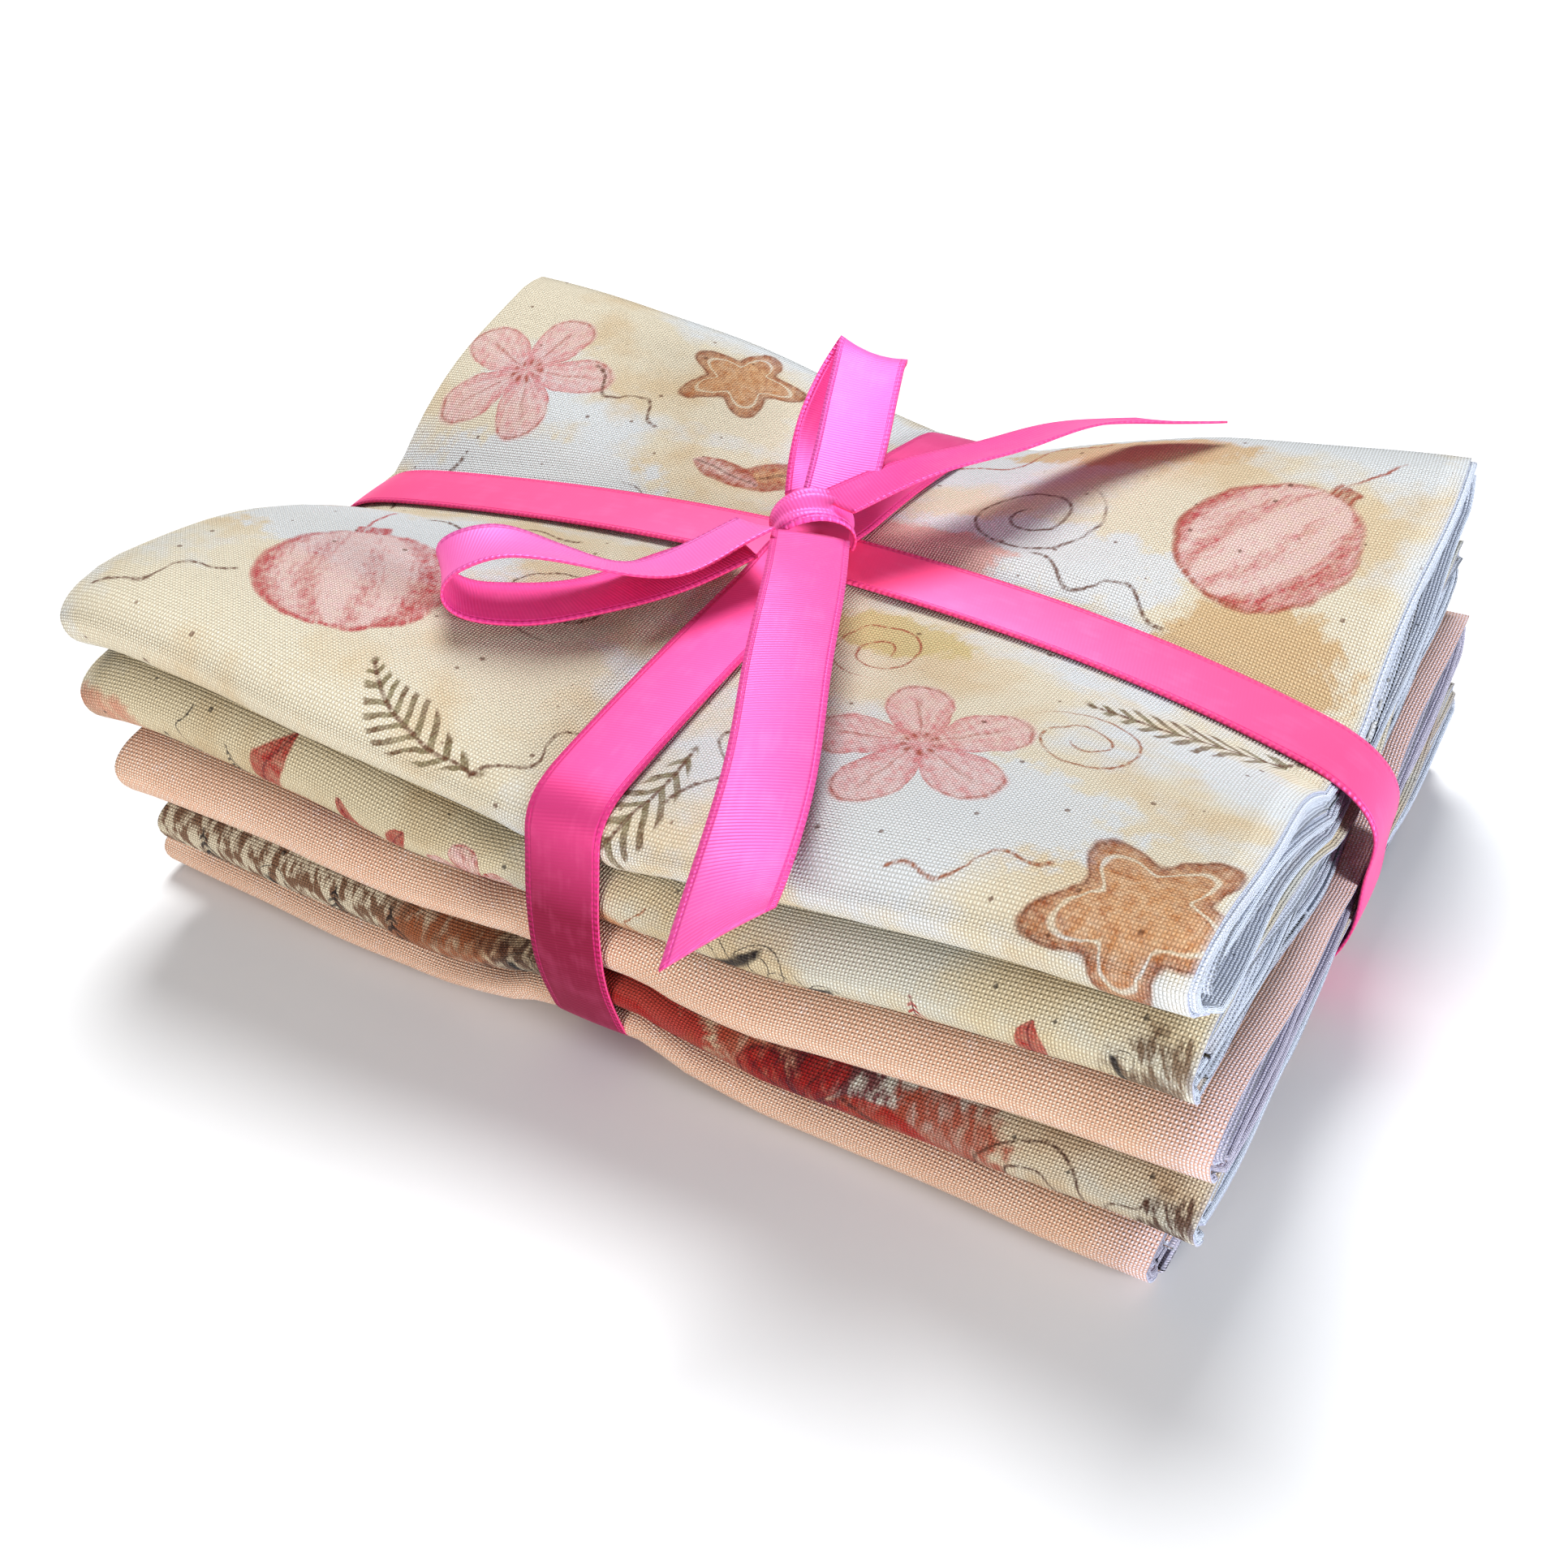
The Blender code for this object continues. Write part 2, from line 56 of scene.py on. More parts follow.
Colour = tuple[float, float, float, float]
Sides = tuple[bpy.types.Material, bpy.types.Material, bpy.types.Material]


def to_part(points: Array) -> Array:
    """Turn stack millimetres into the part's metres."""
    return (points - MIDDLE) * MM


def paint(red: int, green: int, blue: int) -> Colour:
    """A colour given as the eye sees it, from 0 to 255, in the linear values that shaders use.

    Args:
        red: Red on the usual display scale.
        green: Green on the same scale.
        blue: Blue on the same scale.

    Returns:
        Linear red, green, blue and an alpha of 1.
    """
    parts = []
    for level in (red, green, blue):
        value = level / 255.0
        parts.append(value / 12.92 if value <= 0.04045 else ((value + 0.055) / 1.055) ** 2.4)
    return (parts[0], parts[1], parts[2], 1.0)


def unit(vectors: Array) -> Array:
    """Rows of vectors, each made one long."""
    return vectors / np.maximum(np.linalg.norm(vectors, axis=-1, keepdims=True), 1e-9)


# Shape of the tied stack


@dataclass(frozen=True)
class Valley:
    """How the top falls along a band's valley, away from the crossing."""

    fall: float
    at: float
    power: float

    def drop(self, reach: Array) -> Array:
        """How far the valley's floor has dropped at this reach."""
        return self.fall * (reach / self.at) ** self.power


@dataclass(frozen=True)
class Crease:
    """A soft ridge or hollow pressed along a short line on the top cloth."""

    start: tuple[float, float]
    end: tuple[float, float]
    rise: float
    width: float

    def lift(self, x: Array, y: Array) -> Array:
        """How far the top is lifted at each place.

        Args:
            x: Places along the stack.
            y: Places across it.

        Returns:
            Lift in millimetres, negative in a hollow.
        """
        run = np.array(self.end) - np.array(self.start)
        length = float(np.hypot(*run))
        along = ((x - self.start[0]) * run[0] + (y - self.start[1]) * run[1]) / length
        aside = ((y - self.start[1]) * run[0] - (x - self.start[0]) * run[1]) / length
        share = np.clip(along / length, 0.0, 1.0)
        past = along - share * length
        fade = np.sin(math.pi * np.clip(share * 0.8 + 0.1, 0.0, 1.0))
        spread = (aside / self.width) ** 2 + (past / (2.0 * self.width)) ** 2
        return self.rise * fade * np.exp(-spread)


@dataclass(frozen=True)
class TiedStack:
    """The stack of folded cloth as the tie presses it."""

    half_length: float = 76.6
    front: float = -57.0
    back: float = 55.0
    layer: float = 1.25
    layer_step: float = 1.66
    cloth_air: float = 0.45
    cloths: int = 5
    cross_x: float = -1.0
    cross_y: float = 1.9
    bed: float = 7.0
    ramp: float = 14.5
    centre_top: float = 44.2
    channel: float = 1.7
    edge_lift: float = 4.0
    lift_width: float = 20.0
    lift_from_x: float = 64.0
    lift_from_front: float = 46.0
    lift_from_back: float = 45.0
    long_bank: float = 15.5
    long_bank_power: float = 1.05
    short_bank: float = 23.0
    pillow_foot: float = 46.0
    pillow_power: float = 0.6
    pillow_front_left: float = 54.0
    pillow_back_left: float = 52.6
    pillow_front_right: float = 54.6
    pillow_back_right: float = 55.8
    blend_width: float = 12.0
    crease_clear: float = 1.35
    end_roll: float = 1.5
    roll_from: float = 64.0
    left: Valley = Valley(9.6, 76.0, 1.6)
    right: Valley = Valley(9.0, 76.0, 2.6)
    near: Valley = Valley(2.2, 57.0, 3.0)
    far: Valley = Valley(8.2, 54.0, 1.9)
    creases: tuple[Crease, ...] = (
        Crease((9.0, 10.0), (44.0, 14.0), 1.3, 3.6),
        Crease((-9.0, 12.0), (-30.0, 24.0), -0.9, 4.5),
        Crease((-12.0, -7.0), (-58.0, -12.0), 0.7, 4.0),
        Crease((8.0, -9.0), (30.0, -24.0), -0.8, 4.0),
        Crease((10.0, -6.5), (56.0, -8.5), 0.6, 3.0),
        Crease((-8.0, -14.0), (-14.0, -44.0), 0.7, 3.5),
        Crease((7.0, -20.0), (11.0, -50.0), 0.6, 3.0),
        Crease((-40.0, 12.0), (-70.0, 26.0), 0.8, 5.0),
        Crease((46.0, 16.0), (66.0, 34.0), -0.7, 6.0),
        Crease((24.0, 22.0), (36.0, 48.0), 0.7, 6.0),
    )

    @property
    def cloth_thick(self) -> float:
        """Thickness of one folded fat quarter in the even stack."""
        return 4.0 * self.layer_step + self.layer

    @property
    def even_top(self) -> float:
        """Height of the even stack."""
        return self.cloths * (self.cloth_thick + self.cloth_air)

    def on_bed(self, offset: Array) -> Array:
        """1 on the bed of a band, easing to 0 at the end of its ramp."""
        share = np.clip((self.ramp - np.abs(offset)) / (self.ramp - self.bed), 0.0, 1.0)
        return share * share * (3.0 - 2.0 * share)

    def hump(self, offset: Array) -> Array:
        """1 on a band's bed and 0 beyond the lift's width past it.

        Args:
            offset: How far a place is from the band.

        Returns:
            The share.
        """
        past = np.maximum(0.0, np.abs(offset) - self.bed) / self.lift_width
        part = np.maximum(0.0, 1.0 - past ** 2)
        return part * part

    def top(self, x: Array, y: Array) -> Array:
        """Height of the tied top: low along the two bands, high in the four pillows.

        Args:
            x: Places along the stack.
            y: Places across it.

        Returns:
            Heights in millimetres.
        """
        reach_x = np.abs(x - self.cross_x)
        reach_y = np.abs(y - self.cross_y)
        along_x = np.where(x < self.cross_x, self.left.drop(reach_x), self.right.drop(reach_x))
        along_y = np.where(y < self.cross_y, self.near.drop(reach_y), self.far.drop(reach_y))
        bank_y = (np.maximum(0.0, reach_y - self.bed) / self.long_bank) ** self.long_bank_power
        off_y = 1.0 - np.exp(-bank_y)
        off_x = 1.0 - np.exp(-np.maximum(0.0, reach_x - self.bed) / self.short_bank)
        share_x = 0.5 + 0.5 * np.tanh((x - self.cross_x) / self.blend_width)
        share_y = 0.5 + 0.5 * np.tanh((y - self.cross_y) / self.blend_width)
        near = self.pillow_front_left * (1.0 - share_x) + self.pillow_front_right * share_x
        far = self.pillow_back_left * (1.0 - share_x) + self.pillow_back_right * share_x
        corner = near * (1.0 - share_y) + far * share_y
        reach = np.minimum(1.0, reach_x / self.half_length) * np.minimum(1.0, reach_y / self.back)
        pillow = self.pillow_foot + (corner - self.pillow_foot) * reach ** self.pillow_power
        on_long = (1.0 - off_y) * (self.centre_top - along_x)
        on_short = (1.0 - off_x) * (self.centre_top - along_y)
        shared = (1.0 - off_y) * (1.0 - off_x) * self.centre_top
        past = np.maximum(0.0, -x - self.roll_from) / (self.half_length - self.roll_from)
        roll = self.end_roll * past ** 3 * (1.0 - share_y)
        return on_long + on_short - shared + off_x * off_y * pillow + self.folds(x, y) - roll

    def folds(self, x: Array, y: Array) -> Array:
        """The creases, pressed flat under both bands.

        Args:
            x: Places along the stack.
            y: Places across it.

        Returns:
            Lift in millimetres.
        """
        free_x = 1.0 - self.on_bed((x - self.cross_x) * self.crease_clear)
        free_y = 1.0 - self.on_bed((y - self.cross_y) * self.crease_clear)
        return free_x * free_y * sum(crease.lift(x, y) for crease in self.creases)

    def base(self, x: Array, y: Array) -> Array:
        """Underside: flat but for the bands' beds and the edges that they draw up.

        Args:
            x: Places along the stack.
            y: Places across it.

        Returns:
            Heights in millimetres.
        """
        beds = self.channel * (self.on_bed(x - self.cross_x) + self.on_bed(y - self.cross_y))
        front = (-y - self.lift_from_front) / (-self.front - self.lift_from_front)
        back = (y - self.lift_from_back) / (self.back - self.lift_from_back)
        end = (np.abs(x) - self.lift_from_x) / (self.half_length - self.lift_from_x)
        front, back, end = (np.maximum(0.0, part) for part in (front, back, end))
        across = np.maximum(front, back) * self.hump(x - self.cross_x)
        return beds + self.edge_lift * (across + end * self.hump(y - self.cross_y))

    def place(self, x: Array, y: Array, height: Array) -> Array:
        """Points of the even stack, moved to where the tie presses them.

        Args:
            x: Places along the stack.
            y: Places across it.
            height: Heights in the even stack.

        Returns:
            One row of stack millimetres for each point.
        """
        low = self.base(x, y)
        high = self.top(x, y)
        return np.stack((x, y, low + (high - low) * height / self.even_top), axis=-1)


# Meshes made from flat grids


def shaped_grid(name: str, along: Array, across: Array,
                shape: Callable[[Array, Array], Array]) -> bpy.types.Object:
    """A flat grid of cloth or ribbon, cut to size, then moved to its worn shape.

    Args:
        name: Name of the piece.
        along: Flat places of the grid's columns, in metres.
        across: Flat places of the grid's rows, in metres.
        shape: Gives a point in the part's frame for each column and row number.

    Returns:
        The new object, with its flat places in the UV map "cut".
    """
    sheet = bmesh.new()
    columns, rows = len(along) - 1, len(across) - 1
    bmesh.ops.create_grid(sheet, x_segments=columns, y_segments=rows, size=0.5)
    mesh = bpy.data.meshes.new(name)
    sheet.to_mesh(mesh)
    sheet.free()
    flat = np.empty(len(mesh.vertices) * 3)
    mesh.vertices.foreach_get("co", flat)
    flat = flat.reshape(-1, 3)
    column = np.rint((flat[:, 0] + 0.5) * columns).astype(int)
    row = np.rint((flat[:, 1] + 0.5) * rows).astype(int)
    corners = np.empty(len(mesh.loops), dtype=np.int32)
    mesh.loops.foreach_get("vertex_index", corners)
    cut = mesh.uv_layers.new(name="cut")
    places = np.stack((along[column], across[row]), axis=-1)
    cut.data.foreach_set("uv", places[corners].astype(np.float32).ravel())
    mesh.vertices.foreach_set("co", shape(column, row).astype(np.float32).ravel())
    mesh.polygons.foreach_set("use_smooth", np.ones(len(mesh.polygons), dtype=bool))
    mesh.update()
    piece = bpy.data.objects.new(name, mesh)
    bpy.context.scene.collection.objects.link(piece)
    return piece


def dress(piece: bpy.types.Object, thickness: float, sides: Sides) -> None:
    """Give a sheet its thickness and its finishes.

    Args:
        piece: The sheet.
        thickness: How thick it is, in metres.
        sides: Materials of its face, its reverse and its edge.
    """
    for material in sides:
        piece.data.materials.append(material)
    solid = piece.modifiers.new("thickness", "SOLIDIFY")
    solid.thickness = thickness
    solid.offset = 0.0
    solid.material_offset = 1
    solid.material_offset_rim = 2


# Shader maths


class Shade:
    """A value inside a material. Python's operators on it add Math nodes."""

    def __init__(self, board: "Board", socket: bpy.types.NodeSocket) -> None:
        """Wrap one output socket of a board."""
        self.board = board
        self.socket = socket

    def math(self, operation: str, *others: "Shade | float",
             first: "Shade | float | None" = None) -> "Shade":
        """One Math node on this value.

        Args:
            operation: The node's operation.
            others: The values after this one.
            first: A value that goes before this one.

        Returns:
            The node's result.
        """
        values = ([] if first is None else [first]) + [self, *others]
        return self.board.node("ShaderNodeMath", {"operation": operation}, dict(enumerate(values)))

    def __add__(self, other: "Shade | float") -> "Shade":
        """This plus other."""
        return self.math("ADD", other)

    def __radd__(self, other: float) -> "Shade":
        """Other plus this."""
        return self.math("ADD", other)

    def __sub__(self, other: "Shade | float") -> "Shade":
        """This minus other."""
        return self.math("SUBTRACT", other)

    def __rsub__(self, other: float) -> "Shade":
        """Other minus this."""
        return self.math("SUBTRACT", first=other)

    def __mul__(self, other: "Shade | float") -> "Shade":
        """This times other."""
        return self.math("MULTIPLY", other)

    def __rmul__(self, other: float) -> "Shade":
        """Other times this."""
        return self.math("MULTIPLY", other)

    def __truediv__(self, other: "Shade | float") -> "Shade":
        """This divided by other."""
        return self.math("DIVIDE", other)

    def __pow__(self, other: float) -> "Shade":
        """This to a power."""
        return self.math("POWER", other)

    def __abs__(self) -> "Shade":
        """This without its sign."""
        return self.math("ABSOLUTE")

    def __mod__(self, other: float) -> "Shade":
        """What is left of this after whole steps of other, never negative."""
        return self.math("FLOORED_MODULO", other)

    def below(self, edge: "Shade | float", soft: float) -> "Shade":
        """1 where this is under edge, easing to 0 over soft past it."""
        return ((self - edge) / -soft + 1.0).clip()

    def clip(self) -> "Shade":
        """This kept from 0 to 1."""
        settings = {"operation": "ADD", "use_clamp": True}
        return self.board.node("ShaderNodeMath", settings, {0: self, 1: 0.0})

    def most(self, other: "Shade | float") -> "Shade":
        """The larger of two."""
        return self.math("MAXIMUM", other)

    def also(self, output: str | int) -> "Shade":
        """Another output of the node that this value comes from."""
        return Shade(self.board, self.socket.node.outputs[output])


class Board:
    """One material and the nodes that paint it."""

    def __init__(self, name: str) -> None:
        """Start a material with one Principled shader.

        Args:
            name: The material's name.
        """
        self.material = bpy.data.materials.new(name)
        self.material.use_nodes = True
        self.nodes = self.material.node_tree.nodes
        self.links = self.material.node_tree.links
        self.shader = self.nodes["Principled BSDF"]

    def node(self, kind: str, settings: dict[str, object], values: dict[object, object],
             out: str | int = 0) -> Shade:
        """Add a node.

        Args:
            kind: The node's type.
            settings: Its properties, set first.
            values: What goes into its sockets, by name or number.
            out: The output to return.

        Returns:
            The chosen output.
        """
        made = self.nodes.new(kind)
        for key, value in settings.items():
            setattr(made, key, value)
        for key, value in values.items():
            self.feed(made.inputs[key], value)
        return Shade(self, made.outputs[out])

    def feed(self, socket: bpy.types.NodeSocket, value: object) -> None:
        """Link a shade into a socket, or set the socket to a plain value."""
        if isinstance(value, Shade):
            self.links.new(value.socket, socket)
        else:
            socket.default_value = value

    def set(self, **inputs: object) -> None:
        """Feed the shader's inputs; an underscore stands for a space."""
        for key, value in inputs.items():
            self.feed(self.shader.inputs[key.replace("_", " ")], value)

    def mix(self, share: Shade | float, start: object, end: object, blend: str = "MIX") -> Shade:
        """A colour between two.

        Args:
            share: 0 for the first colour, 1 for the second.
            start: First colour or shade.
            end: Second colour or shade.
            blend: The mix's blend type.

        Returns:
            The mixed colour.
        """
        settings = {"data_type": "RGBA", "blend_type": blend}
        return self.node("ShaderNodeMix", settings, {0: share, 6: start, 7: end}, 2)

    def flat(self) -> tuple[Shade, Shade]:
        """Places on the cut cloth, in millimetres along and across."""
        first, second, _ = self.split(self.node("ShaderNodeUVMap", {"uv_map": "cut"}, {}))
        return first * METRE, second * METRE

    def at(self, x: Shade, y: Shade) -> Shade:
        """A vector for a texture node."""
        return self.node("ShaderNodeCombineXYZ", {}, {0: x, 1: y})

    def split(self, vector: Shade) -> tuple[Shade, Shade, Shade]:
        """The three parts of a vector."""
        parts = self.node("ShaderNodeSeparateXYZ", {}, {0: vector})
        return parts, parts.also(1), parts.also(2)

    def noise(self, place: Shade, size: float, detail: float = 2.0, rough: float = 0.5) -> Shade:
        """Soft noise from 0 to 1.

        Args:
            place: Where it is read, in millimetres.
            size: About how wide its blotches are.
            detail: How many finer noises lie on the first.
            rough: How strong the finer ones are.

        Returns:
            The noise.
        """
        values = {"Vector": place, "Scale": 1.0 / size, "Detail": detail, "Roughness": rough}
        return self.node("ShaderNodeTexNoise", {"noise_dimensions": "2D"}, values)

    def relief(self, height: Shade, depth: float) -> Shade:
        """A bump normal of this depth in metres."""
        values = {"Height": height, "Distance": depth, "Strength": 1.0}
        return self.node("ShaderNodeBump", {}, values)


# Cotton


@dataclass(frozen=True)
class Weave:
    """Plain weave of quilting cotton."""

    pitch: float = 0.42
    depth: float = 0.00024
    shadow: float = 0.95
    weft: float = 0.45
    slub_size: float = 1.4
    slub: float = 0.9
    gap_power: float = 1.4

    def threads(self, board: Board, x: Shade, y: Shade) -> Shade:
        """Height of the woven threads from 0, in the gaps, to 1, on a crown.

        Args:
            board: The material that it goes into.
            x: Place along the cloth in millimetres.
            y: Place across it.

        Returns:
            The height.
        """
        turn = math.pi / self.pitch
        slub = board.noise(board.at(x * 0.12, y), self.slub_size, 1.0) * self.slub
        over = (x * turn + slub).math("SINE") * (y * turn + slub).math("SINE")
        return over.most(over * -self.weft)

    def shadows(self, threads: Shade) -> Shade:
        """How deep the gaps between the threads look."""
        return (1.0 - threads) ** self.gap_power * self.shadow


Drawing = tuple[Shade, Shade, Shade]     # a motif's body, tone and ink


class Motif(Enum):
    """Generic shapes of the printed cloths."""

    BAUBLE = "bauble"
    FLOWER = "flower"
    STAR = "star"
    SPRIG = "sprig"
    CURL = "curl"
    SCROLL = "scroll"
    WISP = "wisp"
    PETAL = "petal"


@dataclass(frozen=True)
class Spot:
    """One printed shape: its place on the top panel, its turn, its size and its colours."""

    motif: Motif
    x: float
    y: float
    turn: float
    size: float
    pale: Colour
    deep: Colour
    line: Colour


@dataclass(frozen=True)
class Wash:
    """A loose patch of paint, broken into brush marks where rough is high."""

    x: float
    y: float
    wide: float
    tall: float
    rough: float
    colour: Colour


@dataclass(frozen=True)
class Print:
    """A watercolour print on cotton, repeated over the cloth."""

    name: str
    ground: Colour
    warm: Colour
    cool: Colour
    speck: Colour
    spots: tuple[Spot, ...]
    washes: tuple[Wash, ...]
    # end is painted light: the pale colour that the cloth takes along its right-hand fold and cut
    # edge.
    end: Colour
    repeat: tuple[float, float] = (228.6, 279.4)
    shift: tuple[float, float] = (152.4, 224.4)
    weave: Weave = Weave()
    shade: Colour = paint(120, 100, 74)
    wash_size: float = 26.0
    cloud_size: float = 40.0
    grain_size: float = 1.3
    wobble_size: float = 5.0
    fray_size: float = 4.0
    mark_size: float = 1.9
    dot_scale: float = 0.13
    stroke_gap: float = 6.5
    lit_end_fold: float = 152.4

    def make(self) -> bpy.types.Material:
        """Paint the print.

        Returns:
            The material.
        """
        board = Board(self.name)
        across, along = board.flat()
        x = across % self.repeat[0] - self.shift[0]
        y = along % self.repeat[1] - self.shift[1]
        place = board.at(x, y)
        wash = board.noise(place, self.wash_size, 4.0, 0.6)
        cloud = board.noise(board.at(x + 90.0, y * 1.2), self.cloud_size, 5.0, 0.62)
        grain = board.noise(place, self.grain_size, 3.0, 0.7)
        wobble = (board.noise(place, self.wobble_size, 3.0) - 0.5) * 3.0
        colour = board.mix(((wash - 0.49) * 6.0).clip(), self.ground, self.warm)
        colour = board.mix(((cloud - 0.49) * 8.0).clip(), colour, self.cool)
        fray = (board.noise(place, self.fray_size, 4.0, 0.65) - 0.5) * 1.6
        slanted = board.at(x * 1.5 + y * 0.5, y * 0.55 + 7.0)
        marks = board.noise(slanted, self.mark_size, 3.0, 0.6) - 0.5
        for patch in self.washes:
            colour = self.brush(board, colour, patch, place, fray, marks)
        loose = board.at(x + wobble * 0.5, y - wobble * 0.5)
        for spot in self.spots:
            colour = self.stamp(board, colour, spot, loose, grain)
        colour = self.sprinkle(board, colour, place, x, y)
        # Painted light: the cloth pales towards end along the right-hand fold and the cut edge,
        # where light from the right falls on the ends.
        off = abs(across % (2.0 * self.lit_end_fold) - self.lit_end_fold)
        colour = board.mix(off.below(0.6, 1.8) * 0.8, colour, self.end)
        threads = self.weave.threads(board, across, along)
        gaps = board.mix(0.62, colour, self.shade, "MULTIPLY")
        colour = board.mix(self.weave.shadows(threads), colour, gaps)
        board.set(Base_Color=colour, Roughness=0.9, Specular_IOR_Level=0.2, Sheen_Weight=0.1)
        board.set(Normal=board.relief(threads, self.weave.depth))
        return board.material

    def brush(self, board: Board, colour: Shade, wash: Wash, place: Shade, fray: Shade,
              marks: Shade) -> Shade:
        """Lay one loose patch of paint on the ground.

        Args:
            board: The material.
            colour: The colour so far.
            wash: The patch.
            place: The place on the print as a vector.
            fray: Soft noise that frays its edge.
            marks: Brush marks, from -0.5 to 0.5.

        Returns:
            The colour with the patch on it.
        """
        values = {"Vector": place, "Location": (wash.x, wash.y, 0.0),
                  "Scale": (wash.wide, wash.tall, 1.0)}
        own = board.node("ShaderNodeMapping", {"vector_type": "TEXTURE"}, values)
        reach = board.node("ShaderNodeVectorMath", {"operation": "LENGTH"}, {0: own}, "Value")
        body = (reach * reach + fray).below(0.55, 0.35)
        broken = (marks * (9.0 * wash.rough) + (1.0 - wash.rough * 0.55)).clip()
        return board.mix((body * broken * 0.92).clip(), colour, wash.colour)

    def sprinkle(self, board: Board, colour: Shade, place: Shade, x: Shade, y: Shade) -> Shade:
        """Scatter small dots and short pen strokes over the ground.

        Args:
            board: The material.
            colour: The colour so far.
            place: The place on the print as a vector.
            x: Place along the print.
            y: Place across it.

        Returns:
            The colour with the marks on it.
        """
        flat = {"voronoi_dimensions": "2D"}
        dots = board.node("ShaderNodeTexVoronoi", flat, {"Vector": place, "Scale": self.dot_scale})
        size, _, _ = board.split(dots.also("Color"))
        fleck = dots.below((size - 0.45) * 0.07, 0.02)
        colour = board.mix(fleck * 0.7, colour, self.speck)
        values = {"Vector": place, "Scale": 1.0 / self.stroke_gap}
        cells = board.node("ShaderNodeTexVoronoi", flat, values, "Position")
        middle_x, middle_y, _ = board.split(cells)
        lean, length, bow = board.split(cells.also("Color"))
        aside, up = x - middle_x * self.stroke_gap, y - middle_y * self.stroke_gap
        angle = lean * 2.4 - 1.2
        sine, cosine = angle.math("SINE"), angle.math("COSINE")
        own_x = aside * cosine + up * sine
        own_y = up * cosine - aside * sine
        bent = own_y - own_x * own_x * (bow - 0.5) * 0.9
        stroke = abs(bent).below(0.10, 0.22) * abs(own_x).below(length * 2.6, 0.5)
        long_ones = (length - 0.5).clip().math("SIGN")
        kept = long_ones * (board.noise(place, 24.0, 2.0) - 0.44).clip() * 9.0
        return board.mix((stroke * kept).clip() * 0.85, colour, self.speck)

    def stamp(self, board: Board, colour: Shade, spot: Spot, place: Shade, grain: Shade) -> Shade:
        """Paint one printed shape over the ground.

        Args:
            board: The material.
            colour: The colour so far.
            spot: The shape.
            place: The place on the print as a vector.
            grain: Fine noise that breaks up the paint.

        Returns:
            The colour with the shape on it.
        """
        values = {"Vector": place, "Location": (spot.x, spot.y, 0.0),
                  "Rotation": (0.0, 0.0, math.radians(spot.turn)),
                  "Scale": (spot.size, spot.size, 1.0)}
        own = board.node("ShaderNodeMapping", {"vector_type": "TEXTURE"}, values)
        own_x, own_y, _ = board.split(own)
        draw: Callable[[Shade, Shade], Drawing] = getattr(self, spot.motif.value)
        body, tone, ink = draw(own_x, own_y)
        strokes = {"Vector": own, "Scale": (spot.size * 1.5, spot.size * 0.3, 1.0)}
        pencil = board.noise(board.node("ShaderNodeMapping", {}, strokes), 1.0, 3.0, 0.6)
        pooled = tone + (grain - 0.5) * 0.7 + (pencil - 0.5) * 1.5
        inner = board.mix(pooled.clip(), spot.pale, spot.deep)
        colour = board.mix((body * (0.35 + grain * 0.9)).clip(), colour, inner)
        return board.mix((ink * (pencil * 2.6 - 0.55).clip()).clip() * 0.9, colour, spot.line)

    def bauble(self, x: Shade, y: Shade) -> Drawing:
        """A ribbed glass ball with a cap and a thread.

        Args:
            x: Place along the shape, 1 at its edge.
            y: Place across it.

        Returns:
            Body, tone and ink.
        """
        round_ = (x * x + y * y).math("SQRT")
        body = round_.below(0.76, 0.06)
        across = x / (0.64 - y * y).most(0.05).math("SQRT")
        ribs = (across * 11.0).math("SINE") * 0.35
        tone = ribs + across * across * 0.9 - 0.05 + y * -0.25
        rim = abs(round_ - 0.78).below(0.008, 0.035) * (0.65 - y * 0.4).clip()
        cap = abs(x).below(0.13, 0.03) * abs(y - 0.85).below(0.07, 0.03)
        thread = abs(x - (y * 5.0).math("SINE") * 0.06).below(0.006, 0.02)
        thread = thread * abs(y - 1.2).below(0.3, 0.04)
        return body, tone, rim.most(cap).most(thread)

    def flower(self, x: Shade, y: Shade) -> Drawing:
        """A five-petalled bloom with veins and a dotted heart.

        Args:
            x: Place along the shape, 1 at its edge.
            y: Place across it.

        Returns:
            Body, tone and ink.
        """
        round_ = (x * x + y * y).math("SQRT")
        angle = y.math("ARCTAN2", x)
        lobe = abs((angle * 2.5).math("COSINE"))
        edge = lobe ** 0.75 * 0.62 + 0.30
        body = round_.below(edge, 0.06)
        veins = (angle * 30.0).math("SINE") * 0.16
        tone = 0.85 - lobe * 0.75 + veins + (0.45 - round_).clip() * 0.9
        rim = abs(round_ - edge).below(0.004, 0.03) * (0.35 + lobe * 0.4)
        crease = abs((angle * 2.5).math("SINE")).below(0.05, 0.09)
        crease = crease * round_.below(0.6, 0.2) * 0.55
        seeds = abs(round_ - 0.13).below(0.02, 0.04) * ((angle * 9.0).math("SINE") * 0.5 + 0.5)
        return body, tone, rim.most(crease).most(seeds)

    def star(self, x: Shade, y: Shade) -> Drawing:
        """A plump five-pointed biscuit with a baked rim and an iced line.

        Args:
            x: Place along the shape, 1 at its edge.
            y: Place across it.

        Returns:
            Body, tone and ink.
        """
        round_ = (x * x + y * y).math("SQRT")
        point = (y.math("ARCTAN2", x) * 5.0).math("COSINE")
        edge = point * 0.2 + 0.7
        body = round_.below(edge, 0.06)
        share = round_ / edge
        tone = share ** 3.0 * 0.9 + 0.1
        icing = abs(share - 0.74).below(0.015, 0.035)
        rim = abs(share - 1.0).below(0.006, 0.04)
        return body * (1.0 - icing * 0.8), tone, rim * 0.6

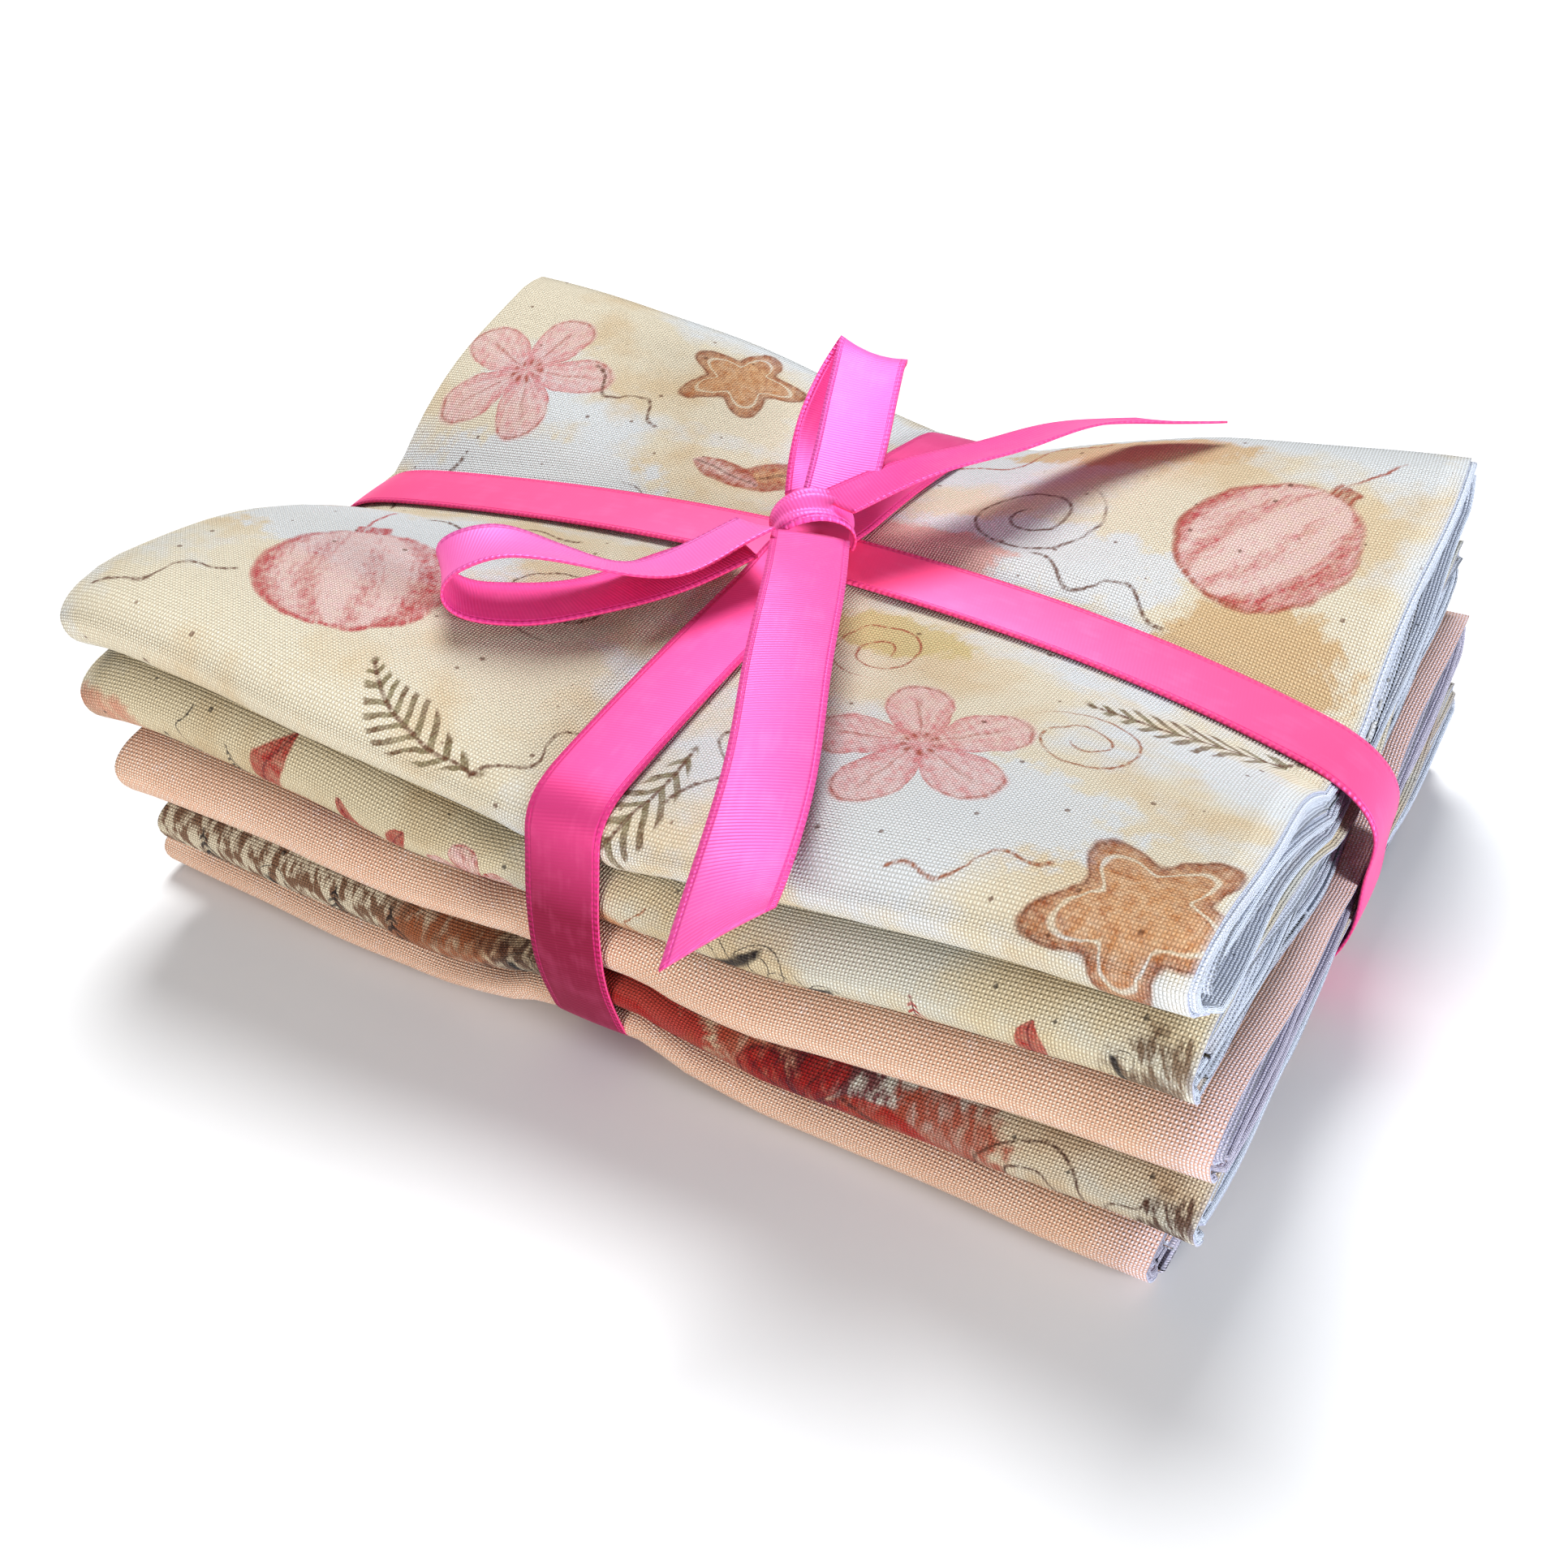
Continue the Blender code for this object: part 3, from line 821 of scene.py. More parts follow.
    def sprig(self, x: Shade, y: Shade) -> Drawing:
        """A fir sprig: needles along a bent stem.

        Args:
            x: Place along the shape, 1 at its edge.
            y: Place across it.

        Returns:
            Body, tone and ink.
        """
        bent = y - x * x * 0.3
        off = abs(bent)
        reach = abs(x).below(0.9, 0.08)
        needle = ((x + off * 0.9) * 34.0).math("SINE").below(-0.1, 0.5)
        body = off.below((1.0 - abs(x)) * 0.32, 0.04) * reach * (1.0 - needle)
        stem = off.below(0.012, 0.02) * reach
        return body, off * 2.4, stem

    def curl(self, x: Shade, y: Shade) -> Drawing:
        """A thin tendril that winds in.

        Args:
            x: Place along the shape, 1 at its edge.
            y: Place across it.

        Returns:
            Body, tone and ink.
        """
        round_ = (x * x + y * y).math("SQRT")
        angle = y.math("ARCTAN2", x)
        phase = (round_ * 2.2 - angle / (2.0 * math.pi)) % 1.0
        line = abs(phase - 0.5).below(0.02, 0.07)
        line = line * round_.below(0.95, 0.06) * (1.0 - round_.below(0.16, 0.05))
        return round_ * 0.0, round_, line

    def scroll(self, x: Shade, y: Shade) -> Drawing:
        """Two curls joined by a leaf, as on wrought iron.

        Args:
            x: Place along the shape, 1 at its edge.
            y: Place across it.

        Returns:
            Body, tone and ink.
        """
        _, _, first = self.curl((x - 0.5) * 2.0, y * 2.0)
        _, _, second = self.curl((x + 0.5) * -2.0, y * -2.0)
        bar = abs(y - x * 0.5).below(0.05, 0.08) * abs(x).below(0.45, 0.1)
        return bar, x * 0.0 + 0.8, first.most(second).most(bar)

    def wisp(self, x: Shade, y: Shade) -> Drawing:
        """A loose pen line with two waves in it.

        Args:
            x: Place along the shape, 1 at its edge.
            y: Place across it.

        Returns:
            Body, tone and ink.
        """
        wave = (x * 4.6).math("SINE") * (1.0 - abs(x)) * 0.34
        line = abs(y - wave).below(0.012, 0.035) * abs(x).below(0.95, 0.05)
        return x * 0.0, x, line

    def petal(self, x: Shade, y: Shade) -> Drawing:
        """A loose petal with a darker vein.

        Args:
            x: Place along the shape, 1 at its edge.
            y: Place across it.

        Returns:
            Body, tone and ink.
        """
        edge = (1.0 - x * x) * 0.42
        body = abs(y).below(edge, 0.08) * abs(x).below(0.97, 0.03)
        return body, abs(y) * 2.2 + 0.2, abs(y).below(0.02, 0.04) * body * 0.8


@dataclass(frozen=True)
class Mottle:
    """Plain-dyed cotton with a cloudy mottle."""

    name: str
    mid: Colour
    light: Colour
    dark: Colour
    shade: Colour
    # end is painted light: the pale colour that the cloth takes along its right-hand fold and cut
    # edge.
    end: Colour
    weave: Weave = Weave()
    patch_size: float = 9.0
    fleck_size: float = 2.2
    lit_end_fold: float = 152.4

    def make(self) -> bpy.types.Material:
        """Dye the cloth.

        Returns:
            The material.
        """
        board = Board(self.name)
        across, along = board.flat()
        place = board.at(across, along)
        patch = board.noise(place, self.patch_size, 4.0, 0.6)
        fleck = board.noise(board.at(across + 40.0, along), self.fleck_size, 2.0)
        colour = board.mix(((patch - 0.5) * 3.0 + 0.5).clip(), self.dark, self.mid)
        colour = board.mix(((fleck - 0.60) * 7.0).clip() * 0.8, colour, self.light)
        # Painted light: a wide fade towards end along the right-hand fold and the cut edge, where
        # light from the right falls on the ends.
        off = abs(across % (2.0 * self.lit_end_fold) - self.lit_end_fold)
        colour = board.mix(off.below(3.0, 7.0) * 0.9, colour, self.end)
        threads = self.weave.threads(board, across, along)
        colour = board.mix(self.weave.shadows(threads), colour, self.shade)
        board.set(Base_Color=colour, Roughness=0.9, Specular_IOR_Level=0.2, Sheen_Weight=0.15)
        board.set(Normal=board.relief(threads, self.weave.depth))
        return board.material


# Ribbon


@dataclass(frozen=True)
class Satin:
    """Satin ribbon: a smooth face or a ribbed reverse, with a looped selvedge."""

    name: str
    colour: Colour
    edge: Colour
    sheen: Colour
    roughness: float
    ribs: float
    # Where far is given, colour is a painted highlight near the start of the run that gives way to
    # far, the plain colour, further along.
    far: Colour | None = None
    highlight_until: float = 30.0
    highlight_fade: float = 12.0
    # low is painted shade: the colour that a band takes below a set height, where it hangs down
    # the sides.
    low: Colour | None = None
    painted_shade_from: float = 0.034
    painted_shade_over: float = 0.012
    width: float = 10.3
    rib_pitch: float = 0.46
    rib_slant: float = 0.25
    picot_pitch: float = 0.85
    selvedge: float = 0.42
    float_size: float = 0.7
    cloud_size: float = 4.5
    rib_tint: float = 0.6
    relief: float = 0.00007

    def make(self) -> bpy.types.Material:
        """Weave the ribbon's finish.

        Returns:
            The material.
        """
        board = Board(self.name)
        along, across = board.flat()
        slanted = along + across * self.rib_slant
        ribs = (slanted * (2.0 * math.pi / self.rib_pitch)).math("SINE") * 0.5 + 0.5
        floats = board.noise(board.at(along * 0.08, across), self.float_size, 1.0)
        cloud = board.noise(board.at(along, across), self.cloud_size, 3.0)
        rim = self.width / 2.0 - abs(across)
        picot = (along * (2.0 * math.pi / self.picot_pitch)).math("SINE") * 0.5 + 0.5
        cord = abs(rim - 1.7 * self.selvedge).below(0.07, 0.10)
        border = rim.below(self.selvedge, 0.16)
        colour: Colour | Shade = self.colour
        # Painted highlight: the first colour holds near the start and gives way to far further
        # along.
        if self.far:
            colour = board.mix(1.0 - along.below(self.highlight_until, self.highlight_fade), colour, self.far)
        # Painted shade: the colour darkens to low below a set height of the part.
        if self.low:
            _, _, height = board.split(board.node("ShaderNodeTexCoord", {}, {}, "Object"))
            lowest = height.below(self.painted_shade_from - self.painted_shade_over, self.painted_shade_over)
            colour = board.mix(lowest, colour, self.low)
        colour = board.mix(ribs * self.ribs * self.rib_tint, colour, self.edge)
        gleam = ((floats - 0.5) * 0.10 + (cloud - 0.5) * 0.25).clip()
        colour = board.mix(gleam, colour, self.sheen)
        colour = board.mix((cord * (0.3 + picot * 0.45)).clip(), colour, self.edge)
        colour = board.mix(border * picot * 0.5, colour, self.edge)
        relief = ribs * self.ribs + floats * 0.04 - cord * 0.9 + border * picot
        board.set(Base_Color=colour, Roughness=self.roughness, Metallic=0.25)
        board.set(Specular_IOR_Level=0.5, Specular_Tint=self.sheen)
        board.set(Sheen_Weight=0.15, Sheen_Tint=self.sheen)
        board.set(Normal=board.relief(relief, self.relief))
        return board.material


# Folded cloth


@dataclass(frozen=True)
class Pass:
    """One run of the folded strip: its level in the roll and the way that it runs in Y."""

    level: int
    way: int


PASSES = (Pass(4, -1), Pass(0, 1), Pass(3, -1), Pass(1, 1), Pass(2, -1))
FIRST_SEED = 20
EDGE_WAVES = ((0.45, 21.0), (0.25, 9.0), (0.12, 4.3))   # how far and over what length, in mm


@dataclass
class FatQuarter:
    """One fat quarter, folded in thirds along its short side and in five along its long side."""

    node: str
    slot: str
    shift_x: float
    shift_y: float
    turn: float
    longer: float
    plump: float
    floor: float
    seed: int
    stack: TiedStack
    rests_on: str
    cut_wide: float = 457.2
    cut_long: float = 558.8
    ply_step: float = 0.50
    ply_thick: float = 0.28
    fold_share: float = 0.01
    end_recess: float = 0.6
    left_roll: float = 1.9
    back_share: float = 0.25
    pinch_over: float = 0.42
    pinch_under: float = 0.06
    pinch_from: float = 10.0
    free_short: float = 2.4
    inner_end: float = 1.0
    sway: float = 0.35
    sway_pace: float = 13.0
    ripple: float = 0.2
    ripple_pace: float = 6.1
    bulge: float = 0.05
    bulge_pace: float = 17.0
    left_out: float = 0.5
    left_loose: float = 1.1
    right_in: float = 0.6
    right_slip: float = 1.2
    right_loose: float = 1.3
    panel_columns: int = 44
    fold_columns: int = 5
    pass_rows: int = 34
    turn_rows: int = 9

    def __post_init__(self) -> None:
        """Draw this cloth's own small slips."""
        self.chance = np.random.default_rng(self.seed)
        self.slips = self.chance.uniform(-0.5, 0.5, (5, 3, 2))
        self.waves = self.chance.uniform(0.0, 2.0 * math.pi, 12)

    def columns(self) -> dict[str, Array]:
        """The grid's columns across the strip's three plies.

        Returns:
            Arrays by name: share of the way from left to right, way out of a fold, ply offset,
            panel and flat place.
        """
        third = self.cut_wide / 3.0
        radius = self.ply_step / 2.0
        rows: list[tuple[float, float, float, int, float]] = []
        for panel in range(3):
            offset = (panel - 1) * self.ply_step
            for step in range(self.panel_columns + 1):
                part = step / self.panel_columns
                share = part if panel != 1 else 1.0 - part
                flat = third * (panel + self.fold_share + (1.0 - 2.0 * self.fold_share) * part)
                rows.append((share, 0.0, offset, panel, flat))
            if panel == 2:
                break
            side = 1.0 if panel == 0 else -1.0
            for step in range(1, self.fold_columns + 1):
                part = step / (self.fold_columns + 1)
                angle = math.pi * (part - 0.5)
                rows.append((
                    1.0 if panel == 0 else 0.0,
                    side * radius * math.cos(angle),
                    offset + radius + radius * math.sin(angle),
                    panel,
                    third * (panel + 1.0 - self.fold_share + 2.0 * self.fold_share * part),
                ))
        names = ("share", "out", "offset", "panel", "flat")
        return {name: np.array(column) for name, column in zip(names, zip(*rows))}

    def rows(self) -> dict[str, Array]:
        """The grid's rows along the strip, from its inner end to its outer end.

        Returns:
            Arrays by name: share of the way to the front, shift in Y, way out, height, normal in
            Y and Z, pass, flat place.
        """
        step_up = self.stack.layer_step
        half = self.stack.layer / 2.0
        out_back = 1.5 * step_up + half
        found: list[tuple[float, float, float, float, float, float, int]] = []
        for index, run in enumerate(PASSES):
            height = run.level * step_up + half
            first = index == 0
            last = index == len(PASSES) - 1
            for step in range(self.pass_rows + 1):
                part = step / self.pass_rows
                share = part if run.way < 0 else 1.0 - part
                slide = 0.0
                if first:
                    slide = (out_back - self.free_short) * (1.0 - part)
                if last:
                    slide = self.inner_end * part
                found.append((share, slide, 0.0, height, 0.0, -float(run.way), index))
            if last:
                break
            other = PASSES[index + 1].level
            radius = abs(run.level - other) * step_up / 2.0
            middle = (run.level + other) * step_up / 2.0 + half
            start = math.copysign(math.pi / 2.0, run.level - other)
            count = self.turn_rows + (3 if radius > 3.0 else 0)
            for step in range(1, count):
                angle = start * (1.0 - 2.0 * step / count)
                share = 1.0 if run.way < 0 else 0.0
                found.append((
                    share, 0.0, run.way * radius * math.cos(angle),
                    middle + radius * math.sin(angle),
                    run.way * math.cos(angle), math.sin(angle), index,
                ))
        found.reverse()
        names = ("share", "slide", "out", "height", "normal_y", "normal_z", "pass")
        rows = {name: np.array(column) for name, column in zip(names, zip(*found))}
        span = self.stack.back - self.stack.front - 2.0 * out_back
        y = -rows["share"] * span + rows["out"]
        lengths = np.hypot(np.diff(y), np.diff(rows["height"]))
        flat = np.concatenate(([0.0], np.cumsum(lengths)))
        rows["flat"] = flat * (self.cut_long / flat[-1])
        return rows

    def wander(self, x: Array, start: int) -> Array:
        """A slow unevenness of a folded edge along the stack."""
        waves = zip(EDGE_WAVES, self.waves[start:start + len(EDGE_WAVES)])
        return sum(size * np.sin(x / pace + phase) for (size, pace), phase in waves)

    def fold(self, column: Array, row: Array) -> Array:
        """Where each point of the cut cloth lies in the tied stack.

        Args:
            column: Column number of each point.
            row: Row number of each point.

        Returns:
            One point for each, in the part's frame.
        """
        across, along = self.columns(), self.rows()
        stack = self.stack
        slope = math.tan(math.radians(self.turn))
        half = stack.layer / 2.0
        share = across["share"][column]
        panel = across["panel"][column].astype(int)
        offset = across["offset"][column]
        layer = along["pass"][row].astype(int)
        height = along["height"][row] + along["normal_z"][row] * offset
        middle = stack.cloth_thick / 2.0
        reach_front = 2.0 * stack.layer_step + half
        reach_back = 1.5 * stack.layer_step + half
        rough_x = self.shift_x + (2.0 * share - 1.0) * stack.half_length
        shift = self.shift_y + rough_x * slope
        free = 1.0 - stack.on_bed(rough_x - stack.cross_x)
        front = stack.front + shift + reach_front + self.wander(rough_x, 0) * free
        back = stack.back + shift - reach_back + self.wander(rough_x, 3) * free
        forward = along["share"][row]
        y = forward * front + (1.0 - forward) * back
        y = y + along["slide"][row] + along["out"][row] + along["normal_y"][row] * offset
        inside = np.minimum(y - front, back - y) + 4.0
        near = np.clip(1.0 - inside / self.pinch_from, 0.0, 1.0)
        pinch = np.where(height > middle, self.pinch_over, self.pinch_under) * free
        height = middle + (height - middle) * (1.0 - pinch * near * near * (3.0 - 2.0 * near))
        depth = 1.0 - np.abs(height / stack.cloth_thick * 2.0 - 1.0)
        reach = stack.half_length + self.longer - self.end_recess * depth
        frontal = self.back_share + (1.0 - self.back_share) * forward
        curled = stack.half_length + self.longer - self.left_roll * frontal * (1.0 - depth) ** 3
        sway = self.sway * np.sin(y / self.sway_pace + self.waves[6] + layer)
        uneven = sway + self.ripple * np.sin(y / self.ripple_pace + self.waves[7] + 2.0 * layer)
        left_slip = self.slips[layer, panel, 0] + uneven + self.left_out
        right_slip = self.slips[layer, panel, 1] * self.right_slip + uneven - self.right_in
        left = -curled + left_slip * self.left_loose
        right = reach + right_slip * self.right_loose
        x = self.shift_x + left * (1.0 - share) + right * share
        x = x + across["out"][column] - y * slope
        bulge = 1.0 + self.bulge * np.sin(x / self.bulge_pace + self.waves[8]) * free
        level = self.floor + (height - middle) * self.plump * bulge + middle * self.plump
        return to_part(stack.place(x, y, level))

    def build(self, sides: Sides) -> None:
        """Make the cloth and dress it.

        Args:
            sides: Printed side, other side and cut edge.
        """
        across, along = self.columns(), self.rows()
        name = self.node + "_cloth"
        piece = shaped_grid(name, across["flat"] * MM, along["flat"] * MM, self.fold)
        dress(piece, self.ply_thick * MM, sides)
        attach(piece, "root")
        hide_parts(self.node)
        LOG.info("%s: %d faces before its thickness", piece.name, len(piece.data.polygons))


# Ribbon pieces


@dataclass(frozen=True)
class Section:
    """One section of free ribbon: its centre and the way that its width points."""

    x: float
    y: float
    z: float
    wide_x: float
    wide_y: float
    wide_z: float


@dataclass
class RibbonRun:
    """A run of ribbon along a path."""

    name: str
    node: str
    slot: str
    centres: Array
    widths: Array
    rests_on: str
    width: float = 10.3
    thick: float = 0.32
    crown: float = 0.25
    step: float = 0.9
    rows: int = 10
    slant: float = 0.0
    cut_reach: float = 14.0
    fine_steps: int = 16
    eased: int = 0

    def smooth_path(self) -> tuple[Array, Array, Array]:
        """The path, evenly spaced.

        Returns:
            Centres, width directions and the length run at each point.
        """
        points = np.concatenate((self.centres, self.widths), axis=1)
        gaps = np.maximum(np.linalg.norm(np.diff(self.centres, axis=0), axis=1), 1e-6)[:, None]
        slopes = np.diff(points, axis=0) / gaps
        inner = (slopes[:-1] * gaps[1:] + slopes[1:] * gaps[:-1]) / (gaps[:-1] + gaps[1:])
        tangents = np.concatenate((slopes[:1], inner, slopes[-1:]))
        fine = []
        for p0, p1, m0, m1, gap in zip(points, points[1:], tangents, tangents[1:], gaps):
            t = np.linspace(0.0, 1.0, self.fine_steps, endpoint=False)[:, None]
            rise = t * t * (3.0 - 2.0 * t)
            bend = m0 * t * (1.0 - t) ** 2 - m1 * t * t * (1.0 - t)
            fine.append(p0 * (1.0 - rise) + p1 * rise + gap * bend)
        fine.append(points[-1:])
        run = np.concatenate(fine)
        steps = np.linalg.norm(np.diff(run[:, :3], axis=0), axis=1)
        length = np.concatenate(([0.0], np.cumsum(steps)))
        count = max(8, int(round(length[-1] / self.step)))
        places = np.linspace(0.0, length[-1], count + 1)
        even = np.stack([np.interp(places, length, run[:, k]) for k in range(6)], axis=-1)
        for _ in range(self.eased):
            even[1:-1] = even[1:-1] * 0.5 + (even[:-2] + even[2:]) * 0.25
        return even[:, :3], even[:, 3:], places

    def build(self, sides: Sides) -> None:
        """Make the ribbon and dress it.

        Args:
            sides: Finishes of its face, its reverse and its edge.
        """
        centres, widths, places = self.smooth_path()
        ahead = unit(np.gradient(centres, axis=0))
        aside = unit(widths - ahead * np.sum(widths * ahead, axis=1, keepdims=True))
        out = np.cross(ahead, aside)
        lanes = np.linspace(-1.0, 1.0, self.rows + 1)
        reach = np.clip(1.0 - (places[-1] - places) / self.cut_reach, 0.0, 1.0) ** 2

        def shape(column: Array, row: Array) -> Array:
            """Where each point of the flat ribbon lies.

            Args:
                column: Number along the ribbon.
                row: Number across it.

            Returns:
                Points in the part's frame.
            """
            lane = lanes[row][:, None]
            slip = lane * self.slant * reach[column][:, None]
            bow = self.crown * (1.0 - lane * lane)
            point = centres[column] + aside[column] * lane * (self.width / 2.0)
            return to_part(point + out[column] * bow + ahead[column] * slip)

        piece = shaped_grid(self.name, places * MM, lanes * (self.width / 2.0) * MM, shape)
        dress(piece, self.thick * MM, sides)
        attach(piece, "root")
        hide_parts(self.node)
        self.width * MM
        places[-1] * MM
        LOG.info("%s: %.0f mm of ribbon", self.name, places[-1])


def rows_to_path(rows: tuple[Section, ...]) -> tuple[Array, Array]:
    """Centres and width directions of a table of sections.

    Args:
        rows: The sections in order.

    Returns:
        One row for each section, of its centre and of its width direction.
    """
    centres = np.array([(row.x, row.y, row.z) for row in rows])
    widths = np.array([(row.wide_x, row.wide_y, row.wide_z) for row in rows])
    return centres, widths


@dataclass
class Tie:
    """The ribbon: two bands, a knot, two loops and two tails."""

    stack: TiedStack
    cloths: tuple[FatQuarter, ...]
    lift: float = 0.34
    bend: float = 4.2
    crown: float = 0.12
    eased: int = 5
    top_points: int = 60
    under_points: int = 40
    cross_width: float = 6.4
    cross_rise: float = 0.75
    cross_dip: float = 0.55

    def band_long(self) -> RibbonRun:
        """The band that runs end to end over the top and back underneath.

        Returns:
            The ribbon.
        """
        stack = self.stack
        y = stack.cross_y
        ends = {}
        for side in (-1, 1):
            reach = [cloth.shift_x + side * (stack.half_length + cloth.longer)
                     - y * math.tan(math.radians(cloth.turn)) for cloth in self.cloths]
            ends[side] = (reach[0], side * max(side * value for value in reach), reach[-1])
        xs = np.linspace(ends[-1][0] + 3.5, ends[1][0] - 3.5, self.top_points)
        path = [(x, float(stack.top(np.array(x), np.array(y))) + self.lift) for x in xs]
        path += self.down(ends[1], 1)
        under = np.linspace(ends[1][2] - 4.0, ends[-1][2] + 4.0, self.under_points)
        path += [(x, float(stack.base(np.array(x), np.array(y))) - 0.5) for x in under]
        path += list(reversed(self.down(ends[-1], -1)))
        start = len(xs) + len(self.down(ends[1], 1)) + len(under) // 2
        path = path[start:] + path[:start + 1]
        centres = np.array([(x, y, z) for x, z in path])
        widths = np.tile((0.0, 1.0, 0.0), (len(path), 1))
        return RibbonRun("band_long", "ribbon_band_long", "ribbon_satin_face", centres, widths,
                         "fat_quarter_1", crown=self.crown, eased=self.eased)

    def down(self, ends: tuple[float, float, float], side: int) -> list[tuple[float, float]]:
        """The long band's way down one end, from top to bottom.

        Args:
            ends: Where the top cloth, the furthest and the lowest end there.
            side: -1 at the left end and 1 at the right.

        Returns:
            Places along the stack and heights.
        """
        first, furthest, last = ends
        y = np.array(self.stack.cross_y)
        high = float(self.stack.top(np.array(first), y))
        low = float(self.stack.base(np.array(last), y))
        out = furthest + side * 0.7
        return [
            (first - side * 1.2, high + self.lift),
            (first + side * 0.4, high - 0.5),
            (out, high - 5.0),
            (out, high * 0.55 + low * 0.45),
            (out - side * 0.3, high * 0.25 + low * 0.75),
            (last + side * 0.5, low + 1.5),
            (last - side * 0.8, low - 0.45),
        ]

    def band_short(self) -> RibbonRun:
        """The band that runs front to back over the long one.

        Returns:
            The ribbon.
        """
        stack = self.stack
        x = stack.cross_x
        edges = {}
        for side in (-1, 1):
            limit = stack.front if side < 0 else stack.back
            edges[side] = [limit + cloth.shift_y + x * math.tan(math.radians(cloth.turn))
                           for cloth in self.cloths]
        ys = np.linspace(edges[-1][0] + 7.5, edges[1][0] - 7.5, self.top_points)
        hop = np.exp(-((ys - stack.cross_y) / self.cross_width) ** 4) * self.cross_rise
        path = [(y, float(stack.top(np.array(x), np.array(y))) + self.lift + rise)
                for y, rise in zip(ys, hop)]
        path += self.round(edges[1], 1)
        under = np.linspace(edges[1][-1] - 5.0, edges[-1][-1] + 5.0, self.under_points)
        dip = np.exp(-((under - stack.cross_y) / self.cross_width) ** 4) * self.cross_dip
        path += [(y, float(stack.base(np.array(x), np.array(y))) - 0.45 - low)
                 for y, low in zip(under, dip)]
        path += list(reversed(self.round(edges[-1], -1)))
        start = len(ys) + len(self.round(edges[1], 1)) + len(under) // 2
        path = path[start:] + path[:start + 1]
        centres = np.array([(x, y, z) for y, z in path])
        widths = np.tile((-1.0, 0.0, 0.0), (len(path), 1))
        return RibbonRun("band_short", "ribbon_band_short", "ribbon_satin_face", centres, widths,
                         "fat_quarter_1", crown=self.crown, eased=self.eased)

    def round(self, reach: list[float], side: int) -> list[tuple[float, float]]:
        """The short band's way round the folds at the front or back, from top to bottom.

        Args:
            reach: Where each cloth ends there, top first.
            side: -1 at the front and 1 at the back.

        Returns:
            Places across the stack and heights.
        """
        x = np.array(self.stack.cross_x)
        first, last = reach[0], reach[-1]
        high = float(self.stack.top(x, np.array(first)))
        low = float(self.stack.base(x, np.array(last)))
        outer = side * max(side * value for value in reach)
        angles = np.radians(np.linspace(62.0, 0.0, 6))
        middle, radius = self.bend, self.bend + self.lift
        bend = [(first - side * (middle - radius * math.cos(angle)),
                 high - middle + radius * math.sin(angle)) for angle in angles]
        return bend + [
            (outer + side * 0.6, high * 0.6 + low * 0.4),
            (outer + side * 0.5, high * 0.35 + low * 0.65),
            (last + side * 0.5, low + 3.6),
            (last - side * 0.3, low + 1.2),
            (last - side * 2.2, low - 0.45),
        ]

    def free_runs(self) -> list[RibbonRun]:
        """The bow's two loops and two tails.

        Returns:
            The ribbons.
        """
        runs = []
        for name, node, slot, rows, slant in FREE_RIBBON:
            centres, widths = rows_to_path(rows)
            runs.append(RibbonRun(name, node, slot, centres, widths, "ribbon_knot", slant=slant,
                                  crown=0.3, eased=8))
        return runs


LOOP_LEFT = (
    Section(-5.5, -4.2, 50.6, -0.62, 0.74, -0.26),
    Section(-13.7, -19.9, 49.7, -0.82, 0.48, -0.29),
    Section(-16.0, -22.4, 51.0, -0.73, 0.60, -0.33),
    Section(-21.2, -25.6, 53.3, -0.51, 0.78, -0.36),
    Section(-29.6, -30.3, 55.2, -0.60, 0.80, -0.08),
    Section(-34.5, -34.7, 52.0, -0.68, 0.73, -0.04),
    Section(-33.5, -34.2, 49.1, -0.57, 0.82, -0.10),
    Section(-26.3, -30.2, 46.8, -0.54, 0.84, -0.03),
    Section(-18.6, -23.6, 46.6, -0.76, 0.64, -0.09),
    Section(-12.6, -14.7, 46.8, -0.85, 0.52, -0.02),
    Section(-6.6, -6.0, 48.0, -0.71, 0.69, -0.15),
)
LOOP_BACK = (
    Section(0.9, 6.7, 50.6, 0.96, 0.24, 0.13),
    Section(-1.8, 15.5, 53.4, 0.95, 0.28, 0.12),
    Section(-5.1, 25.0, 56.0, 0.95, 0.31, 0.07),
    Section(-8.1, 33.8, 57.6, 0.95, 0.29, -0.09),
    Section(-9.4, 37.0, 56.4, 0.84, 0.24, -0.48),
    Section(-11.1, 33.9, 52.8, 0.74, 0.25, -0.62),
    Section(-10.0, 26.5, 51.0, 0.72, 0.29, -0.63),
    Section(-6.7, 17.6, 50.0, 0.87, 0.39, -0.31),
    Section(-2.8, 9.1, 48.8, 0.88, 0.47, 0.06),
)
TAIL_FRONT = (
    Section(1.6, -2.2, 49.5, 0.88, 0.46, -0.16),
    Section(8.0, -15.3, 52.1, 0.90, 0.37, -0.22),
    Section(14.9, -31.6, 52.5, 0.91, 0.39, -0.16),
    Section(22.9, -50.6, 50.3, 0.91, 0.38, -0.18),
    Section(28.7, -71.1, 46.6, 0.98, 0.13, 0.15),
)
TAIL_BACK = (
    Section(2.8, 2.3, 52.4, 0.81, -0.54, 0.21),
    Section(9.2, 13.0, 53.9, 0.83, -0.49, 0.27),
    Section(15.5, 24.4, 52.9, 0.87, -0.39, 0.30),
    Section(22.2, 38.1, 51.7, 0.81, -0.44, 0.38),
    Section(33.2, 49.5, 49.4, 0.51, -0.75, 0.41),
)
# Name, node, slot, sections and how far the cut's corner reaches
FREE_RIBBON = (
    ("loop_left", "bow_loop_left", "ribbon_satin_face", LOOP_LEFT, 0.0),
    ("loop_back", "bow_loop_back", "ribbon_reverse", LOOP_BACK, 0.0),
    ("tail_front", "ribbon_tail_front", "ribbon_reverse", TAIL_FRONT, -4.5),
    ("tail_back", "ribbon_tail_back", "ribbon_satin_face", TAIL_BACK, 4.5),
)


